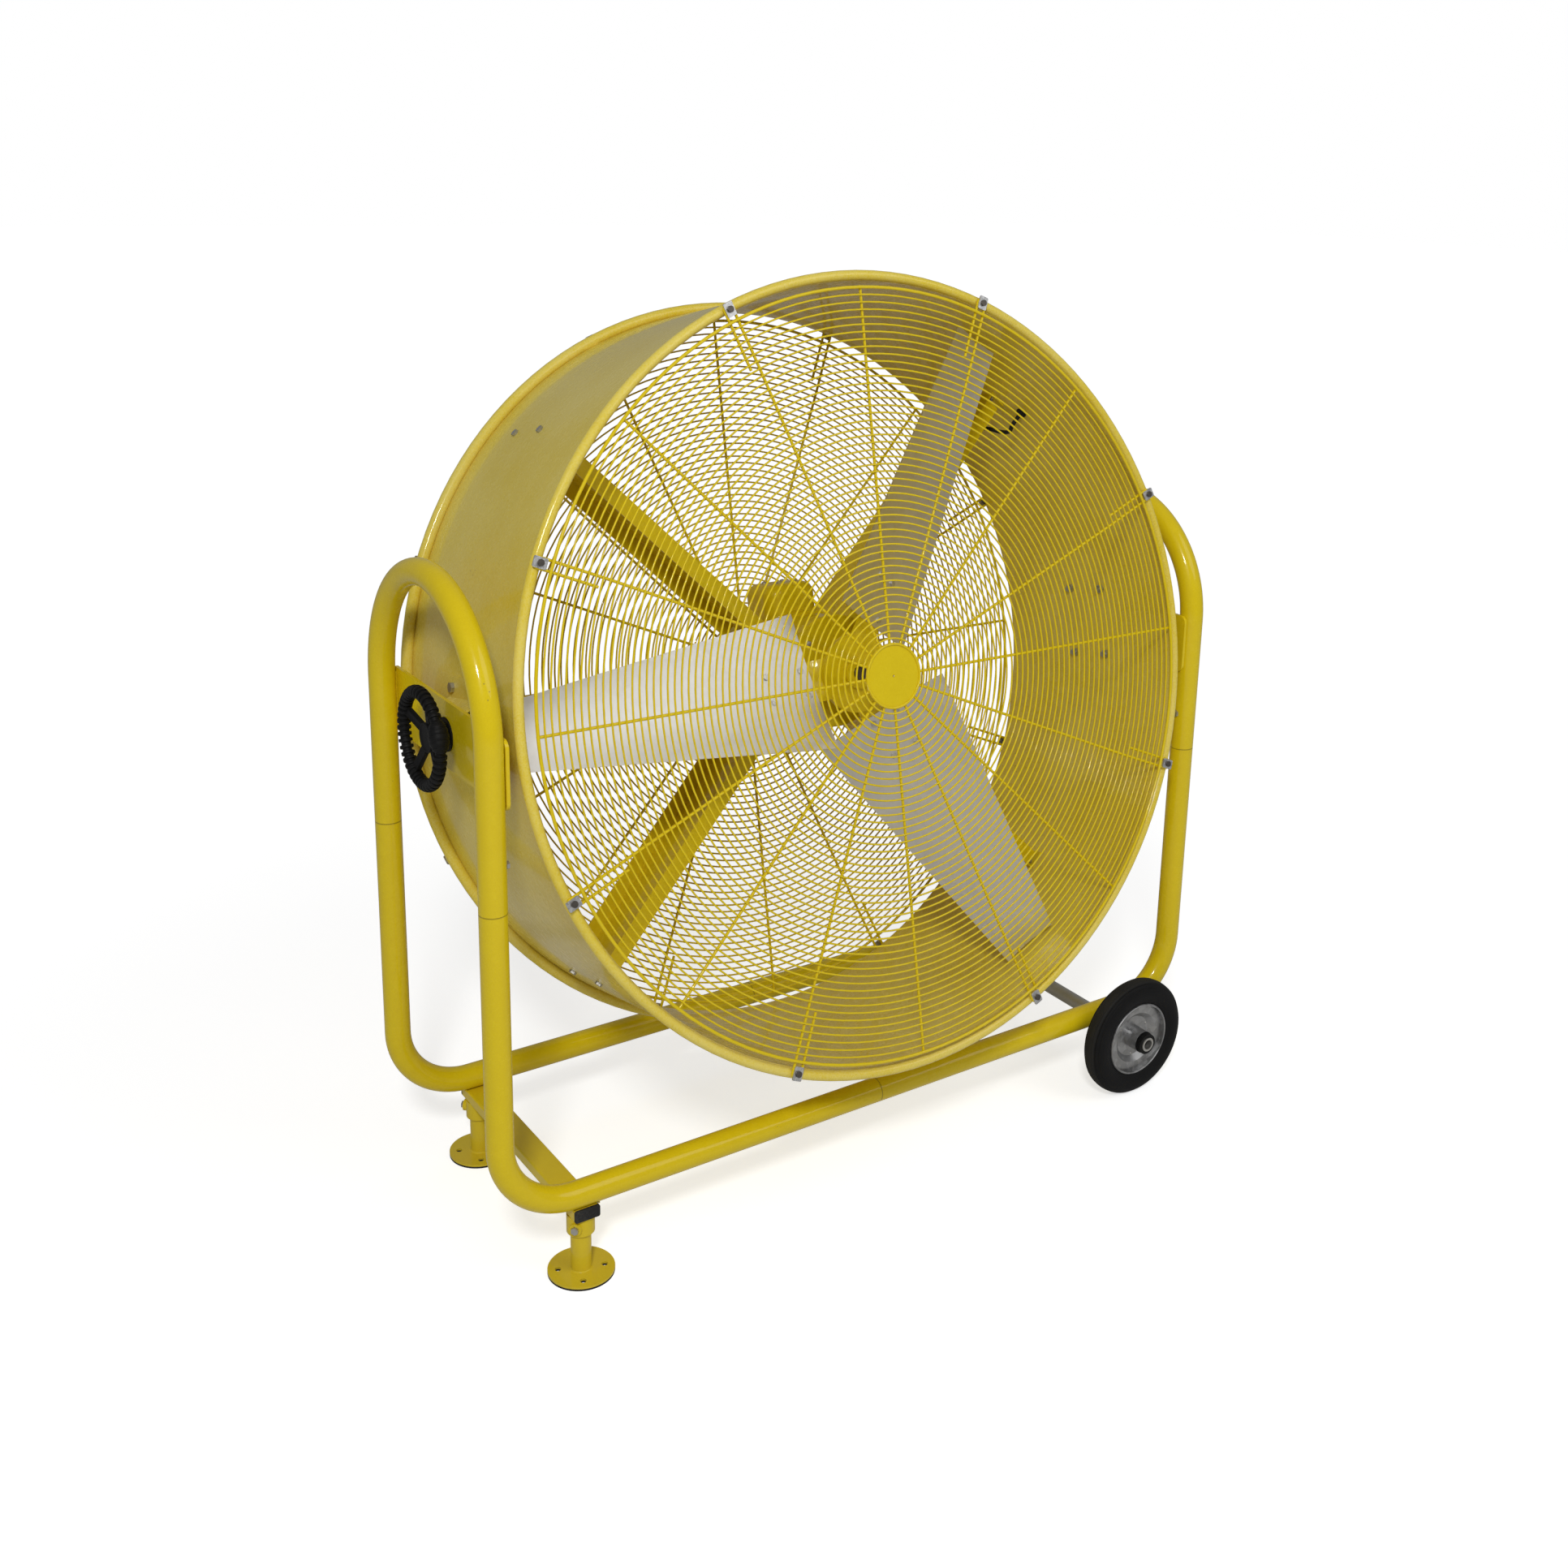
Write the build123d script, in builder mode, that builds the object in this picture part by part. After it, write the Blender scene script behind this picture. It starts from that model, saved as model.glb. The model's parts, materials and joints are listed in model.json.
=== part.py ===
from build123d import *
from math import asin, atan2, cos, degrees, hypot, radians, sin, sqrt, tan
import os

os.makedirs("parts", exist_ok=True)

# A drum fan on a tube frame with two wheels and two adjustable feet. Millimetres and degrees.
# The frame stands on the floor at Z = 0, X runs from the feet to the wheels, and the front is -Y.
# The pieces in the drum are drawn upright in the fan's own frame: its origin is on the pivot, its X
# is the frame's X, its Y points up and its Z runs along the drum's axis to the front. They are laid
# over to the tilt last.

# ---- driving dimensions: tube frame -------------------------------------------------------------
tube_r = 19.0
tube_wall = 2.0
arch_x = 623.5
leg_y = 187.0
arch_centre_z = 804.0
rail_z = 131.0
rail_bend_r = 109.0
seam_z = 582.0
sleeve_wall = 3.0
sleeve_gap = 0.1
leg_sleeve_len = 160.0
rail_sleeve_len = 120.0
sleeve_bolt_rise = 62.0

# ---- driving dimensions: foot beam and feet ------------------------------------------------------
beam_x = -502.0
beam_width = 38.4
beam_height = 18.0
beam_wall = 2.0
beam_len = 394.0
beam_corner_r = 3.0
beam_inner_corner_r = 1.5
cap_thickness = 4.0
cap_plug_len = 5.0
cap_plug_gap = 0.1
foot_y = 177.0
foot_disc_r = 47.5
foot_disc_thickness = 3.0
pad_thickness = 3.0
foot_hole_r = 4.5
foot_pcd = 65.6
foot_hole_count = 4
foot_hole_turn = 68.4
stem_r = 14.6
stem_gap = 0.08
stem_head_room = 0.5
socket_wall = 5.3
socket_drop = 28.0
pinch_boss_r = 9.0
pinch_boss_len = 4.0
pinch_turn = 45.0

# ---- driving dimensions: wheels ------------------------------------------------------------------
axle_x = 501.0
axle_r = 12.0
axle_wall = 3.5
axle_overhang = 2.0
wheel_r = 101.5
wheel_y = 240.0
tyre_width = 40.0
tyre_shoulder_r = 15.0
tyre_groove = 2.0
tyre_groove_y = 11.0
disc_rim_r = 63.0
disc_rim_width = 31.0
disc_sheet = 2.0
disc_web_r = 40.0
disc_dish = 9.0
hub_tube_r = 18.5
hub_tube_wall = 3.0
hub_tube_len = 54.0
bush_len = 14.0
bush_flange = 2.0
bush_gap = 0.06
bush_seat_gap = 0.05
collar_r = 17.5
collar_len = 7.0
wheel_end_gap = 0.4

# ---- driving dimensions: pivot -------------------------------------------------------------------
pivot_z = 766.0
tilt = 11.67
plate_thickness = 5.0
plate_height = 96.0
plate_overhang = 9.0
plate_corner_r = 12.0
stud_r = 6.0
stud_gap = 0.08
friction_washer_r = 24.0
friction_washer_thickness = 2.4
washer_face_gap = 0.05
bracket_sheet = 3.0
bracket_depth = 106.0
bracket_flange_y = 72.0
bracket_foot_y = 45.0
bracket_web_y = 33.0
bracket_bolt_y = 57.0
bracket_bolt_z = 38.0
pivot_nut_r = 9.5
pivot_nut_len = 12.0
stud_head_len = 7.0
stud_end = 5.0

# ---- driving dimensions: handwheel ---------------------------------------------------------------
handwheel_rim_r = 64.0
handwheel_rim_wire_r = 9.5
handwheel_rim_out = 32.0
handwheel_hub_r = 21.0
handwheel_boss_r = 15.0
handwheel_hub_len = 28.0
handwheel_disc_len = 10.0
handwheel_spokes = 4
handwheel_spoke_width = 13.0
handwheel_spoke_thickness = 8.0
handwheel_spoke_root_r = 10.0
handwheel_spoke_root_z = 21.0
handwheel_lobe_half_width = 14.0
handwheel_lobe_half_len = 24.0
handwheel_turn = 18.0

# ---- driving dimensions: drum --------------------------------------------------------------------
drum_inner_r = 571.5
drum_sheet = 1.5
drum_front = 190.0
drum_rear = -206.0
front_bead_r = 7.5
rear_bead_r = 8.5
bead_lap = 0.5

# ---- driving dimensions: grilles -----------------------------------------------------------------
ring_count = 49
ring_inner_r = 55.0
ring_outer_r = 561.0
ring_wire_r = 1.4
rim_wire_r = 2.4
wire_flat = 0.98
radial_wire_r = 2.1
radial_inner_r = 14.0
radial_pairs = 8
grille_turn = -0.5
weld_sink = 0.3
rest_gap = 0.02
eye_r = 7.0
eye_run = 98.0
eye_return = 88.0
eye_bend_r = 400.0
screw_circle_r = 578.0
clip_len = 20.0
clip_width = 15.0
clip_thickness = 2.0
clip_corner_r = 2.0
screw_r = 2.4
screw_gap = 0.1
screw_head_r = 4.6
screw_head_len = 3.0
screw_depth = 14.0
centre_plate_r = 48.5
centre_plate_sheet = 1.5
centre_plate_roll_r = 2.0
centre_dimple_r = 1.8

# ---- driving dimensions: struts and motor --------------------------------------------------------
strut_sheet = 2.5
strut_front = -7.0
strut_depth = 110.0
strut_lip = 24.0
strut_foot = 30.0
strut_end_clear = 12.0
strut_bolt_y = 8.0
strut_bolt_spacing = 86.0
strut_inner_bolt_spacing = 50.0
strut_inner_bolt_y = 17.0
strut_angles = (45.0, 135.0, 225.0, 315.0)
motor_r = 86.0
motor_wall = 6.0
motor_front = 40.0
motor_rear = -140.0
motor_fit = 0.05
mount_ring_wall = 4.0
mount_ring_front = -12.0
mount_ring_len = 100.0
front_bell_len = 14.0
front_boss_r = 34.0
front_boss_len = 8.0
rear_bell_len = 36.0
rear_bell_fillet = 20.0
bell_wall = 6.0
core_len = 84.0
core_front = -14.0
stator_bore_r = 50.0
core_gap = 0.6
bearing_r = 26.0
bearing_len = 15.0
bearing_gap = 0.03
shaft_r = 12.5
shaft_nose_r = 11.0
shaft_front = 122.0
shaft_chamfer = 1.0
keyway_width = 6.0
keyway_depth = 3.0
keyway_len = 40.0
box_half_width = 45.0
box_top = 134.0
box_front = -42.0
box_len = 88.0
box_wall = 2.0
box_corner_r = 24.0
lid_height = 26.0
lid_dome_r = 20.0
gland_r = 8.0
gland_len = 16.0
gland_angle = 22.0
gland_z = 12.0
lead_r = 3.5
grommet_angle = 40.0
grommet_z = 22.0
grommet_r = 9.0
grommet_lip = 2.0

# ---- driving dimensions: rotor -------------------------------------------------------------------
blade_count = 3
blade_angle = 180.3
blade_root_r = 77.0
blade_tip_r = 558.0
blade_sheet = 2.2
root_chord = 217.0
tip_chord = 94.0
root_pitch = 26.0
tip_pitch = 12.5
root_camber = 8.0
tip_camber = 5.0
root_axial = 110.0
tip_axial = 117.5
hub_plate_r = 60.0
hub_plate_sheet = 8.0
hub_plate_z = 103.0
hub_barrel_r = 24.0
hub_barrel_rear = 70.0
hub_barrel_front = 118.0
hub_bore_gap = 0.02
arm_end_r = 168.0
arm_start_r = 40.0
arm_bend_r = 70.0
arm_width = 64.0
arm_sheet = 4.0
rivet_radii = (90.5, 151.5)
rivet_pitch = 40.0
rivet_r = 3.0
rivet_head_r = 5.0
rivet_head_len = 2.0
set_screw_r = 4.0
set_screw_z = 88.0

# ---- hexagon bolts: thread radius, half width across flats, head height ------------------------------
m8_r, m8_hex, m8_head = 4.0, 6.5, 5.3
m6_r, m6_hex, m6_head = 3.0, 5.0, 4.0
bolt_gap = 0.2

# ---- derived places ------------------------------------------------------------------------------
tube_bore_r = tube_r - tube_wall
arch_inner_x = arch_x - tube_r
rail_underside = rail_z - tube_r
beam_z = rail_underside - beam_height / 2
foot_plate_top = pad_thickness + foot_disc_thickness
stem_top = rail_underside - beam_wall - stem_head_room
socket_r = stem_r + stem_gap + socket_wall
socket_bottom = rail_underside - beam_height - socket_drop
axle_z = wheel_r
axle_end_y = wheel_y + hub_tube_len / 2 + bush_flange + wheel_end_gap + collar_len + axle_overhang
plate_inner_x = arch_inner_x - plate_thickness
bracket_web_x = plate_inner_x - friction_washer_thickness - washer_face_gap
drum_outer_r = drum_inner_r + drum_sheet
front_bead_centre_r = drum_inner_r + bead_lap + front_bead_r
rear_bead_centre_r = drum_inner_r + bead_lap + rear_bead_r
mount_ring_inner_r = motor_r + motor_fit
mount_ring_r = mount_ring_inner_r + mount_ring_wall
mount_ring_rear = mount_ring_front - mount_ring_len
strut_mid = strut_front - strut_depth / 2
shaft_nose_start = motor_front + front_bell_len + front_boss_len

pieces = {}


def keep(builder, label, in_fan=False):
    """Files one finished piece under its name, tilted if it was drawn in the fan's own frame."""
    fan_plane = Plane(
        origin=(0, 0, pivot_z),
        x_dir=(1, 0, 0),
        z_dir=(0, -cos(radians(tilt)), sin(radians(tilt))),
    )
    placed = builder.part.moved(fan_plane.location) if in_fan else builder.part
    placed.label = label
    pieces[label] = placed


def wall_plane(angle, radius, axial):
    """A plane across a radius of the fan: its Z points outwards and its X to the front."""
    out = Vector(cos(radians(angle)), sin(radians(angle)), 0)
    return Plane(origin=out * radius + Vector(0, 0, axial), x_dir=(0, 0, 1), z_dir=out)


def hex_bolt(thread_r, half_flats, head_len, shank_len, nut_len=0.0, nut_at=0.0):
    """A bolt along -Z with its head above the seat at Z = 0, and a nut on it where nut_len is given."""
    with BuildPart() as bolt:
        with BuildSketch():
            RegularPolygon(half_flats, 6, major_radius=False)
        extrude(amount=head_len)
        with BuildSketch():
            Circle(thread_r)
        extrude(amount=-shank_len)
        if nut_len:
            with BuildSketch(Plane.XY.offset(-nut_at)):
                RegularPolygon(half_flats, 6, major_radius=False)
            extrude(amount=-nut_len)
    return bolt.part


# ==== tube frame ==================================================================================
def tube_along(path, radius, wall):
    """A round tube swept along a line built in the fan's frame, with its bore open."""
    with BuildPart() as tube:
        with BuildSketch(Plane(origin=path @ 0, z_dir=path % 0)):
            Circle(radius)
            Circle(radius - wall, mode=Mode.SUBTRACT)
        sweep(path=path)
    return tube.part


def sleeve_bolt_places(side):
    """Seats of the bolts of one arch: the front leg's faces the drum, the rear leg's the back."""
    height = seam_z + sleeve_bolt_rise
    front = Plane(
        origin=(side * arch_inner_x, -leg_y, height), x_dir=(0, 0, 1), z_dir=(-side, 0, 0)
    )
    rear = Plane(origin=(side * arch_x, leg_y + tube_r, height), x_dir=(0, 0, 1), z_dir=(0, 1, 0))
    return [front, rear]


for side, label in ((-1, "left_arch"), (1, "right_arch")):
    with BuildLine(Plane.YZ.offset(side * arch_x)) as arch_path:
        Line((-leg_y, seam_z), (-leg_y, arch_centre_z))
        RadiusArc((-leg_y, arch_centre_z), (leg_y, arch_centre_z), leg_y)
        Line((leg_y, arch_centre_z), (leg_y, seam_z))
    with BuildPart() as arch:
        add(tube_along(arch_path.wire(), tube_r, tube_wall))
        with Locations(*sleeve_bolt_places(side)):
            Hole(m6_r + bolt_gap, depth=2 * tube_wall + bolt_gap)
    keep(arch, label)

for side_x, name_x in ((-1, "left"), (1, "right")):
    for side_y, name_y in ((-1, "front"), (1, "rear")):
        with BuildLine(Plane.XZ.offset(-side_y * leg_y)) as rail_path:
            FilletPolyline(
                (side_x * arch_x, seam_z),
                (side_x * arch_x, rail_z),
                (0, rail_z),
                radius=rail_bend_r,
            )
        with BuildPart() as rail:
            add(tube_along(rail_path.wire(), tube_r, tube_wall))
            with BuildSketch(Plane.XZ.offset(-side_y * (leg_y - tube_r))):
                with Locations((axle_x, axle_z)):
                    Circle(axle_r)
            extrude(amount=-side_y * 2 * tube_r, mode=Mode.SUBTRACT)
        keep(rail, f"{name_y}_{name_x}_rail")

with BuildPart() as tube_sleeves:
    for x in (-arch_x, arch_x):
        for y in (-leg_y, leg_y):
            with BuildSketch(Plane.XY.offset(seam_z - leg_sleeve_len / 2)):
                with Locations((x, y)):
                    Circle(tube_bore_r - sleeve_gap)
                    Circle(tube_bore_r - sleeve_gap - sleeve_wall, mode=Mode.SUBTRACT)
            extrude(amount=leg_sleeve_len)
    for side in (-1, 1):
        with Locations(*sleeve_bolt_places(side)):
            Hole(m6_r + bolt_gap, depth=tube_wall + sleeve_gap + 2 * sleeve_wall)
    for y in (-leg_y, leg_y):
        with BuildSketch(Plane.YZ.offset(-rail_sleeve_len / 2)):
            with Locations((y, rail_z)):
                Circle(tube_bore_r - sleeve_gap)
                Circle(tube_bore_r - sleeve_gap - sleeve_wall, mode=Mode.SUBTRACT)
        extrude(amount=rail_sleeve_len)
keep(tube_sleeves, "tube_sleeves")

# ==== foot beam, feet =============================================================================
with BuildPart() as foot_beam:
    with BuildSketch(Plane.XZ.offset(-beam_len / 2)):
        with Locations((beam_x, beam_z)):
            RectangleRounded(beam_width, beam_height, beam_corner_r)
            RectangleRounded(
                beam_width - 2 * beam_wall,
                beam_height - 2 * beam_wall,
                beam_inner_corner_r,
                mode=Mode.SUBTRACT,
            )
    extrude(amount=beam_len)
    with BuildSketch(Plane.XY.offset(beam_z)):
        with Locations((beam_x, -foot_y), (beam_x, foot_y)):
            Circle(stem_r + stem_gap)
    extrude(amount=-beam_height, mode=Mode.SUBTRACT)
keep(foot_beam, "foot_beam")

with BuildPart() as beam_end_caps:
    for end in (-1, 1):
        with BuildSketch(Plane.XZ.offset(-end * beam_len / 2)):
            with Locations((beam_x, beam_z)):
                RectangleRounded(beam_width, beam_height, beam_corner_r)
        extrude(amount=-end * cap_thickness)
        with BuildSketch(Plane.XZ.offset(-end * beam_len / 2)):
            with Locations((beam_x, beam_z)):
                RectangleRounded(
                    beam_width - 2 * (beam_wall + cap_plug_gap),
                    beam_height - 2 * (beam_wall + cap_plug_gap),
                    beam_inner_corner_r,
                )
        extrude(amount=end * cap_plug_len)
    fillet(
        beam_end_caps.faces().group_by(Axis.Y)[0].edges()
        + beam_end_caps.faces().group_by(Axis.Y)[-1].edges(),
        1.0,
    )
keep(beam_end_caps, "beam_end_caps")

pinch_z = socket_bottom + socket_drop / 2


def pinch_seat(side):
    """Seat of a foot's clamp bolt, on the side of the socket that faces away from the middle."""
    reach = socket_r + pinch_boss_len
    out = Vector(-sin(radians(pinch_turn)), side * cos(radians(pinch_turn)), 0)
    return Plane(
        origin=Vector(beam_x, side * foot_y, pinch_z) + out * reach, x_dir=(0, 0, 1), z_dir=out
    )


with BuildPart() as foot_sockets:
    for side in (-1, 1):
        with BuildSketch(Plane.XY.offset(socket_bottom)):
            with Locations((beam_x, side * foot_y)):
                Circle(socket_r)
        extrude(amount=socket_drop)
        with BuildSketch(pinch_seat(side)):
            Circle(pinch_boss_r)
        extrude(amount=-(pinch_boss_len + socket_wall))
    with BuildSketch(Plane.XY.offset(socket_bottom)):
        with Locations((beam_x, -foot_y), (beam_x, foot_y)):
            Circle(stem_r + stem_gap)
    extrude(amount=socket_drop, mode=Mode.SUBTRACT)
    with Locations(pinch_seat(-1), pinch_seat(1)):
        Hole(m6_r, depth=pinch_boss_len + socket_wall + stem_gap)
keep(foot_sockets, "foot_sockets")

with BuildPart() as frame_bolts:
    with Locations(*sleeve_bolt_places(-1), *sleeve_bolt_places(1)):
        add(hex_bolt(m6_r, m6_hex, m6_head, tube_wall + sleeve_gap + sleeve_wall))
    with Locations(pinch_seat(-1), pinch_seat(1)):
        add(hex_bolt(m6_r, m6_hex, m6_head, pinch_boss_len + socket_wall))
keep(frame_bolts, "frame_bolts")

for side, name in ((-1, "front"), (1, "rear")):
    with BuildPart() as foot_stem:
        with BuildSketch(Plane.XY.offset(pad_thickness)):
            with Locations((beam_x, side * foot_y)):
                Circle(foot_disc_r)
                with PolarLocations(foot_pcd / 2, foot_hole_count, start_angle=foot_hole_turn):
                    Circle(foot_hole_r, mode=Mode.SUBTRACT)
        extrude(amount=foot_disc_thickness)
        with BuildSketch(Plane.XY.offset(foot_plate_top)):
            with Locations((beam_x, side * foot_y)):
                Circle(stem_r)
        extrude(amount=stem_top - foot_plate_top)
        weld = foot_stem.edges().filter_by(GeomType.CIRCLE).filter_by(
            lambda e: abs(e.radius - stem_r) < 1e-6
        )
        fillet(weld.sort_by(Axis.Z)[0], 2.0)
    keep(foot_stem, f"{name}_foot_stem")
    with BuildPart() as foot_pad:
        with BuildSketch():
            with Locations((beam_x, side * foot_y)):
                Circle(foot_disc_r)
                with PolarLocations(foot_pcd / 2, foot_hole_count, start_angle=foot_hole_turn):
                    Circle(foot_hole_r, mode=Mode.SUBTRACT)
        extrude(amount=pad_thickness)
    keep(foot_pad, f"{name}_foot_pad")

# ==== axle and wheels =============================================================================
with BuildPart() as axle_tube:
    with BuildSketch(Plane.XZ.offset(-axle_end_y)):
        with Locations((axle_x, axle_z)):
            Circle(axle_r)
            Circle(axle_r - axle_wall, mode=Mode.SUBTRACT)
    extrude(amount=2 * axle_end_y)
keep(axle_tube, "axle_tube")

spacer_inner_y = leg_y + sqrt(tube_r**2 - max(0.0, rail_z - axle_z - collar_r) ** 2) + 1.0
spacer_outer_y = wheel_y - hub_tube_len / 2 - bush_flange - wheel_end_gap
collar_y = wheel_y + hub_tube_len / 2 + bush_flange + wheel_end_gap


def axle_rings(label, inner_y, length):
    """A ring round the axle at each end of it, the given way out from the middle."""
    with BuildPart() as rings:
        for side in (-1, 1):
            with BuildSketch(Plane.XZ.offset(-side * inner_y)):
                with Locations((axle_x, axle_z)):
                    Circle(collar_r)
                    Circle(axle_r + rest_gap, mode=Mode.SUBTRACT)
            extrude(amount=-side * length)
    keep(rings, label)


axle_rings("axle_spacers", spacer_inner_y, spacer_outer_y - spacer_inner_y)
axle_rings("axle_collars", collar_y, collar_len)

for side, name in ((-1, "front"), (1, "rear")):
    wheel_axis = Axis((axle_x, side * wheel_y, axle_z), (0, side, 0))
    # Its X runs out along a radius of the wheel and its Y away from the middle of the fan.
    wheel_plane = Plane(
        origin=(axle_x, side * wheel_y, axle_z), x_dir=(1, 0, 0), z_dir=(0, 0, side)
    )
    with BuildPart() as tyre:
        with BuildSketch(wheel_plane) as tyre_section:
            with Locations(((disc_rim_r + wheel_r) / 2, 0)):
                Rectangle(wheel_r - disc_rim_r, tyre_width)
            fillet(tyre_section.vertices().group_by(Axis.X)[-1], tyre_shoulder_r)
            with Locations((wheel_r, -tyre_groove_y), (wheel_r, tyre_groove_y)):
                Circle(tyre_groove, mode=Mode.SUBTRACT)
        revolve(axis=wheel_axis)
    keep(tyre, f"{name}_tyre")
    with BuildPart() as wheel_disc:
        with BuildSketch(wheel_plane):
            with Locations((disc_rim_r - disc_sheet / 2, 0)):
                Rectangle(disc_sheet, disc_rim_width)
            with Locations(*[(disc_rim_r - disc_sheet, e * disc_rim_width / 2) for e in (-1, 1)]):
                Circle(disc_sheet * 0.75)
            Polygon(
                (disc_rim_r - disc_sheet / 2, disc_dish),
                (disc_web_r + disc_dish / 2, disc_dish),
                (disc_web_r - disc_dish / 2, disc_sheet / 2),
                (hub_tube_r - hub_tube_wall / 2, disc_sheet / 2),
                (hub_tube_r - hub_tube_wall / 2, -disc_sheet / 2),
                (disc_web_r - disc_dish / 2 + disc_sheet / 2, -disc_sheet / 2),
                (disc_web_r + disc_dish / 2 + disc_sheet / 2, disc_dish - disc_sheet),
                (disc_rim_r - disc_sheet / 2, disc_dish - disc_sheet),
                align=None,
            )
            with Locations((hub_tube_r - hub_tube_wall / 2, 0)):
                Rectangle(hub_tube_wall, hub_tube_len)
        revolve(axis=wheel_axis)
    keep(wheel_disc, f"{name}_wheel_disc")
    with BuildPart() as wheel_bushes:
        with BuildSketch(wheel_plane):
            bore = axle_r + bush_gap
            seat = hub_tube_r - hub_tube_wall - bush_seat_gap
            for end in (-1, 1):
                with Locations(((bore + seat) / 2, end * (hub_tube_len - bush_len) / 2)):
                    Rectangle(seat - bore, bush_len)
                with Locations(
                    ((bore + hub_tube_r) / 2, end * (hub_tube_len + bush_flange) / 2)
                ):
                    Rectangle(hub_tube_r - bore, bush_flange)
        revolve(axis=wheel_axis)
    keep(wheel_bushes, f"{name}_wheel_bushes")

# ==== pivot =======================================================================================
with BuildPart() as pivot_plates:
    for side in (-1, 1):
        with BuildSketch(Plane.YZ.offset(side * plate_inner_x)):
            with Locations((0, pivot_z)):
                RectangleRounded(2 * (leg_y + plate_overhang), plate_height, plate_corner_r)
                Circle(stud_r + stud_gap, mode=Mode.SUBTRACT)
        extrude(amount=side * plate_thickness)
keep(pivot_plates, "pivot_plates")

with BuildPart() as friction_washers:
    for side in (-1, 1):
        for face in (plate_inner_x - friction_washer_thickness, arch_inner_x):
            with BuildSketch(Plane.YZ.offset(side * face)):
                with Locations((0, pivot_z)):
                    Circle(friction_washer_r)
                    Circle(stud_r + stud_gap, mode=Mode.SUBTRACT)
            extrude(amount=side * friction_washer_thickness)
keep(friction_washers, "friction_washers")

bracket_bolt_angle = degrees(asin(bracket_bolt_y / (drum_outer_r + bracket_sheet)))


def bracket_bolt_places(radius):
    """Where the bolts of both pivot brackets cross the given radius of the drum."""
    return [
        wall_plane(middle + up * bracket_bolt_angle, radius, axial)
        for middle in (0, 180)
        for up in (-1, 1)
        for axial in (-bracket_bolt_z, bracket_bolt_z)
    ]


with BuildPart() as pivot_brackets:
    with BuildSketch(Plane.XY.offset(-bracket_depth / 2)):
        Circle(drum_outer_r + bracket_sheet)
        with Locations((drum_outer_r, 0)):
            Rectangle(bracket_flange_y, 2 * bracket_flange_y, mode=Mode.INTERSECT)
        Polygon(
            (drum_outer_r - bracket_sheet, -bracket_foot_y),
            (bracket_web_x, -bracket_web_y),
            (bracket_web_x, bracket_web_y),
            (drum_outer_r - bracket_sheet, bracket_foot_y),
            align=None,
        )
        Polygon(
            (drum_outer_r - bracket_sheet, bracket_sheet - bracket_foot_y),
            (bracket_web_x - bracket_sheet, bracket_sheet - bracket_web_y),
            (bracket_web_x - bracket_sheet, bracket_web_y - bracket_sheet),
            (drum_outer_r - bracket_sheet, bracket_foot_y - bracket_sheet),
            align=None,
            mode=Mode.SUBTRACT,
        )
        Circle(drum_outer_r, mode=Mode.SUBTRACT)
    extrude(amount=bracket_depth)
    with BuildSketch(Plane.YZ.offset(bracket_web_x)):
        Circle(stud_r)
    extrude(amount=-2 * bracket_sheet, mode=Mode.SUBTRACT)
    mirror(about=Plane.YZ)
    with Locations(*bracket_bolt_places(drum_outer_r + bracket_sheet)):
        Hole(m8_r + bolt_gap, depth=2 * bracket_sheet)
keep(pivot_brackets, "pivot_brackets", in_fan=True)

nut_relief = m8_hex**2 / drum_inner_r
with BuildPart() as bracket_bolts:
    with Locations(*bracket_bolt_places(drum_outer_r + bracket_sheet)):
        add(
            hex_bolt(
                m8_r,
                m8_hex,
                m8_head,
                bracket_sheet + drum_sheet + 2 * m8_head,
                nut_len=m8_head,
                nut_at=bracket_sheet + drum_sheet + nut_relief,
            )
        )
keep(bracket_bolts, "bracket_bolts", in_fan=True)

outer_washer_face = arch_inner_x + friction_washer_thickness + washer_face_gap
handwheel_bore_len = handwheel_hub_len - handwheel_disc_len / 2
left_stud_end = outer_washer_face + handwheel_bore_len - stud_end
right_stud_end = outer_washer_face + pivot_nut_len + stud_end
stud_seat = bracket_web_x - bracket_sheet
with BuildPart() as pivot_studs:
    for side, stud_tip in ((-1, left_stud_end), (1, right_stud_end)):
        with Locations(Plane(origin=(side * stud_seat, 0, 0), x_dir=(0, 1, 0), z_dir=(-side, 0, 0))):
            add(hex_bolt(stud_r, pivot_nut_r, stud_head_len, stud_tip - stud_seat))
keep(pivot_studs, "pivot_studs", in_fan=True)

with BuildPart() as pivot_lock_nut:
    with BuildSketch(Plane.YZ.offset(outer_washer_face)):
        RegularPolygon(pivot_nut_r, 6, major_radius=False)
        Circle(stud_r, mode=Mode.SUBTRACT)
    extrude(amount=pivot_nut_len)
keep(pivot_lock_nut, "pivot_lock_nut", in_fan=True)

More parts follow.
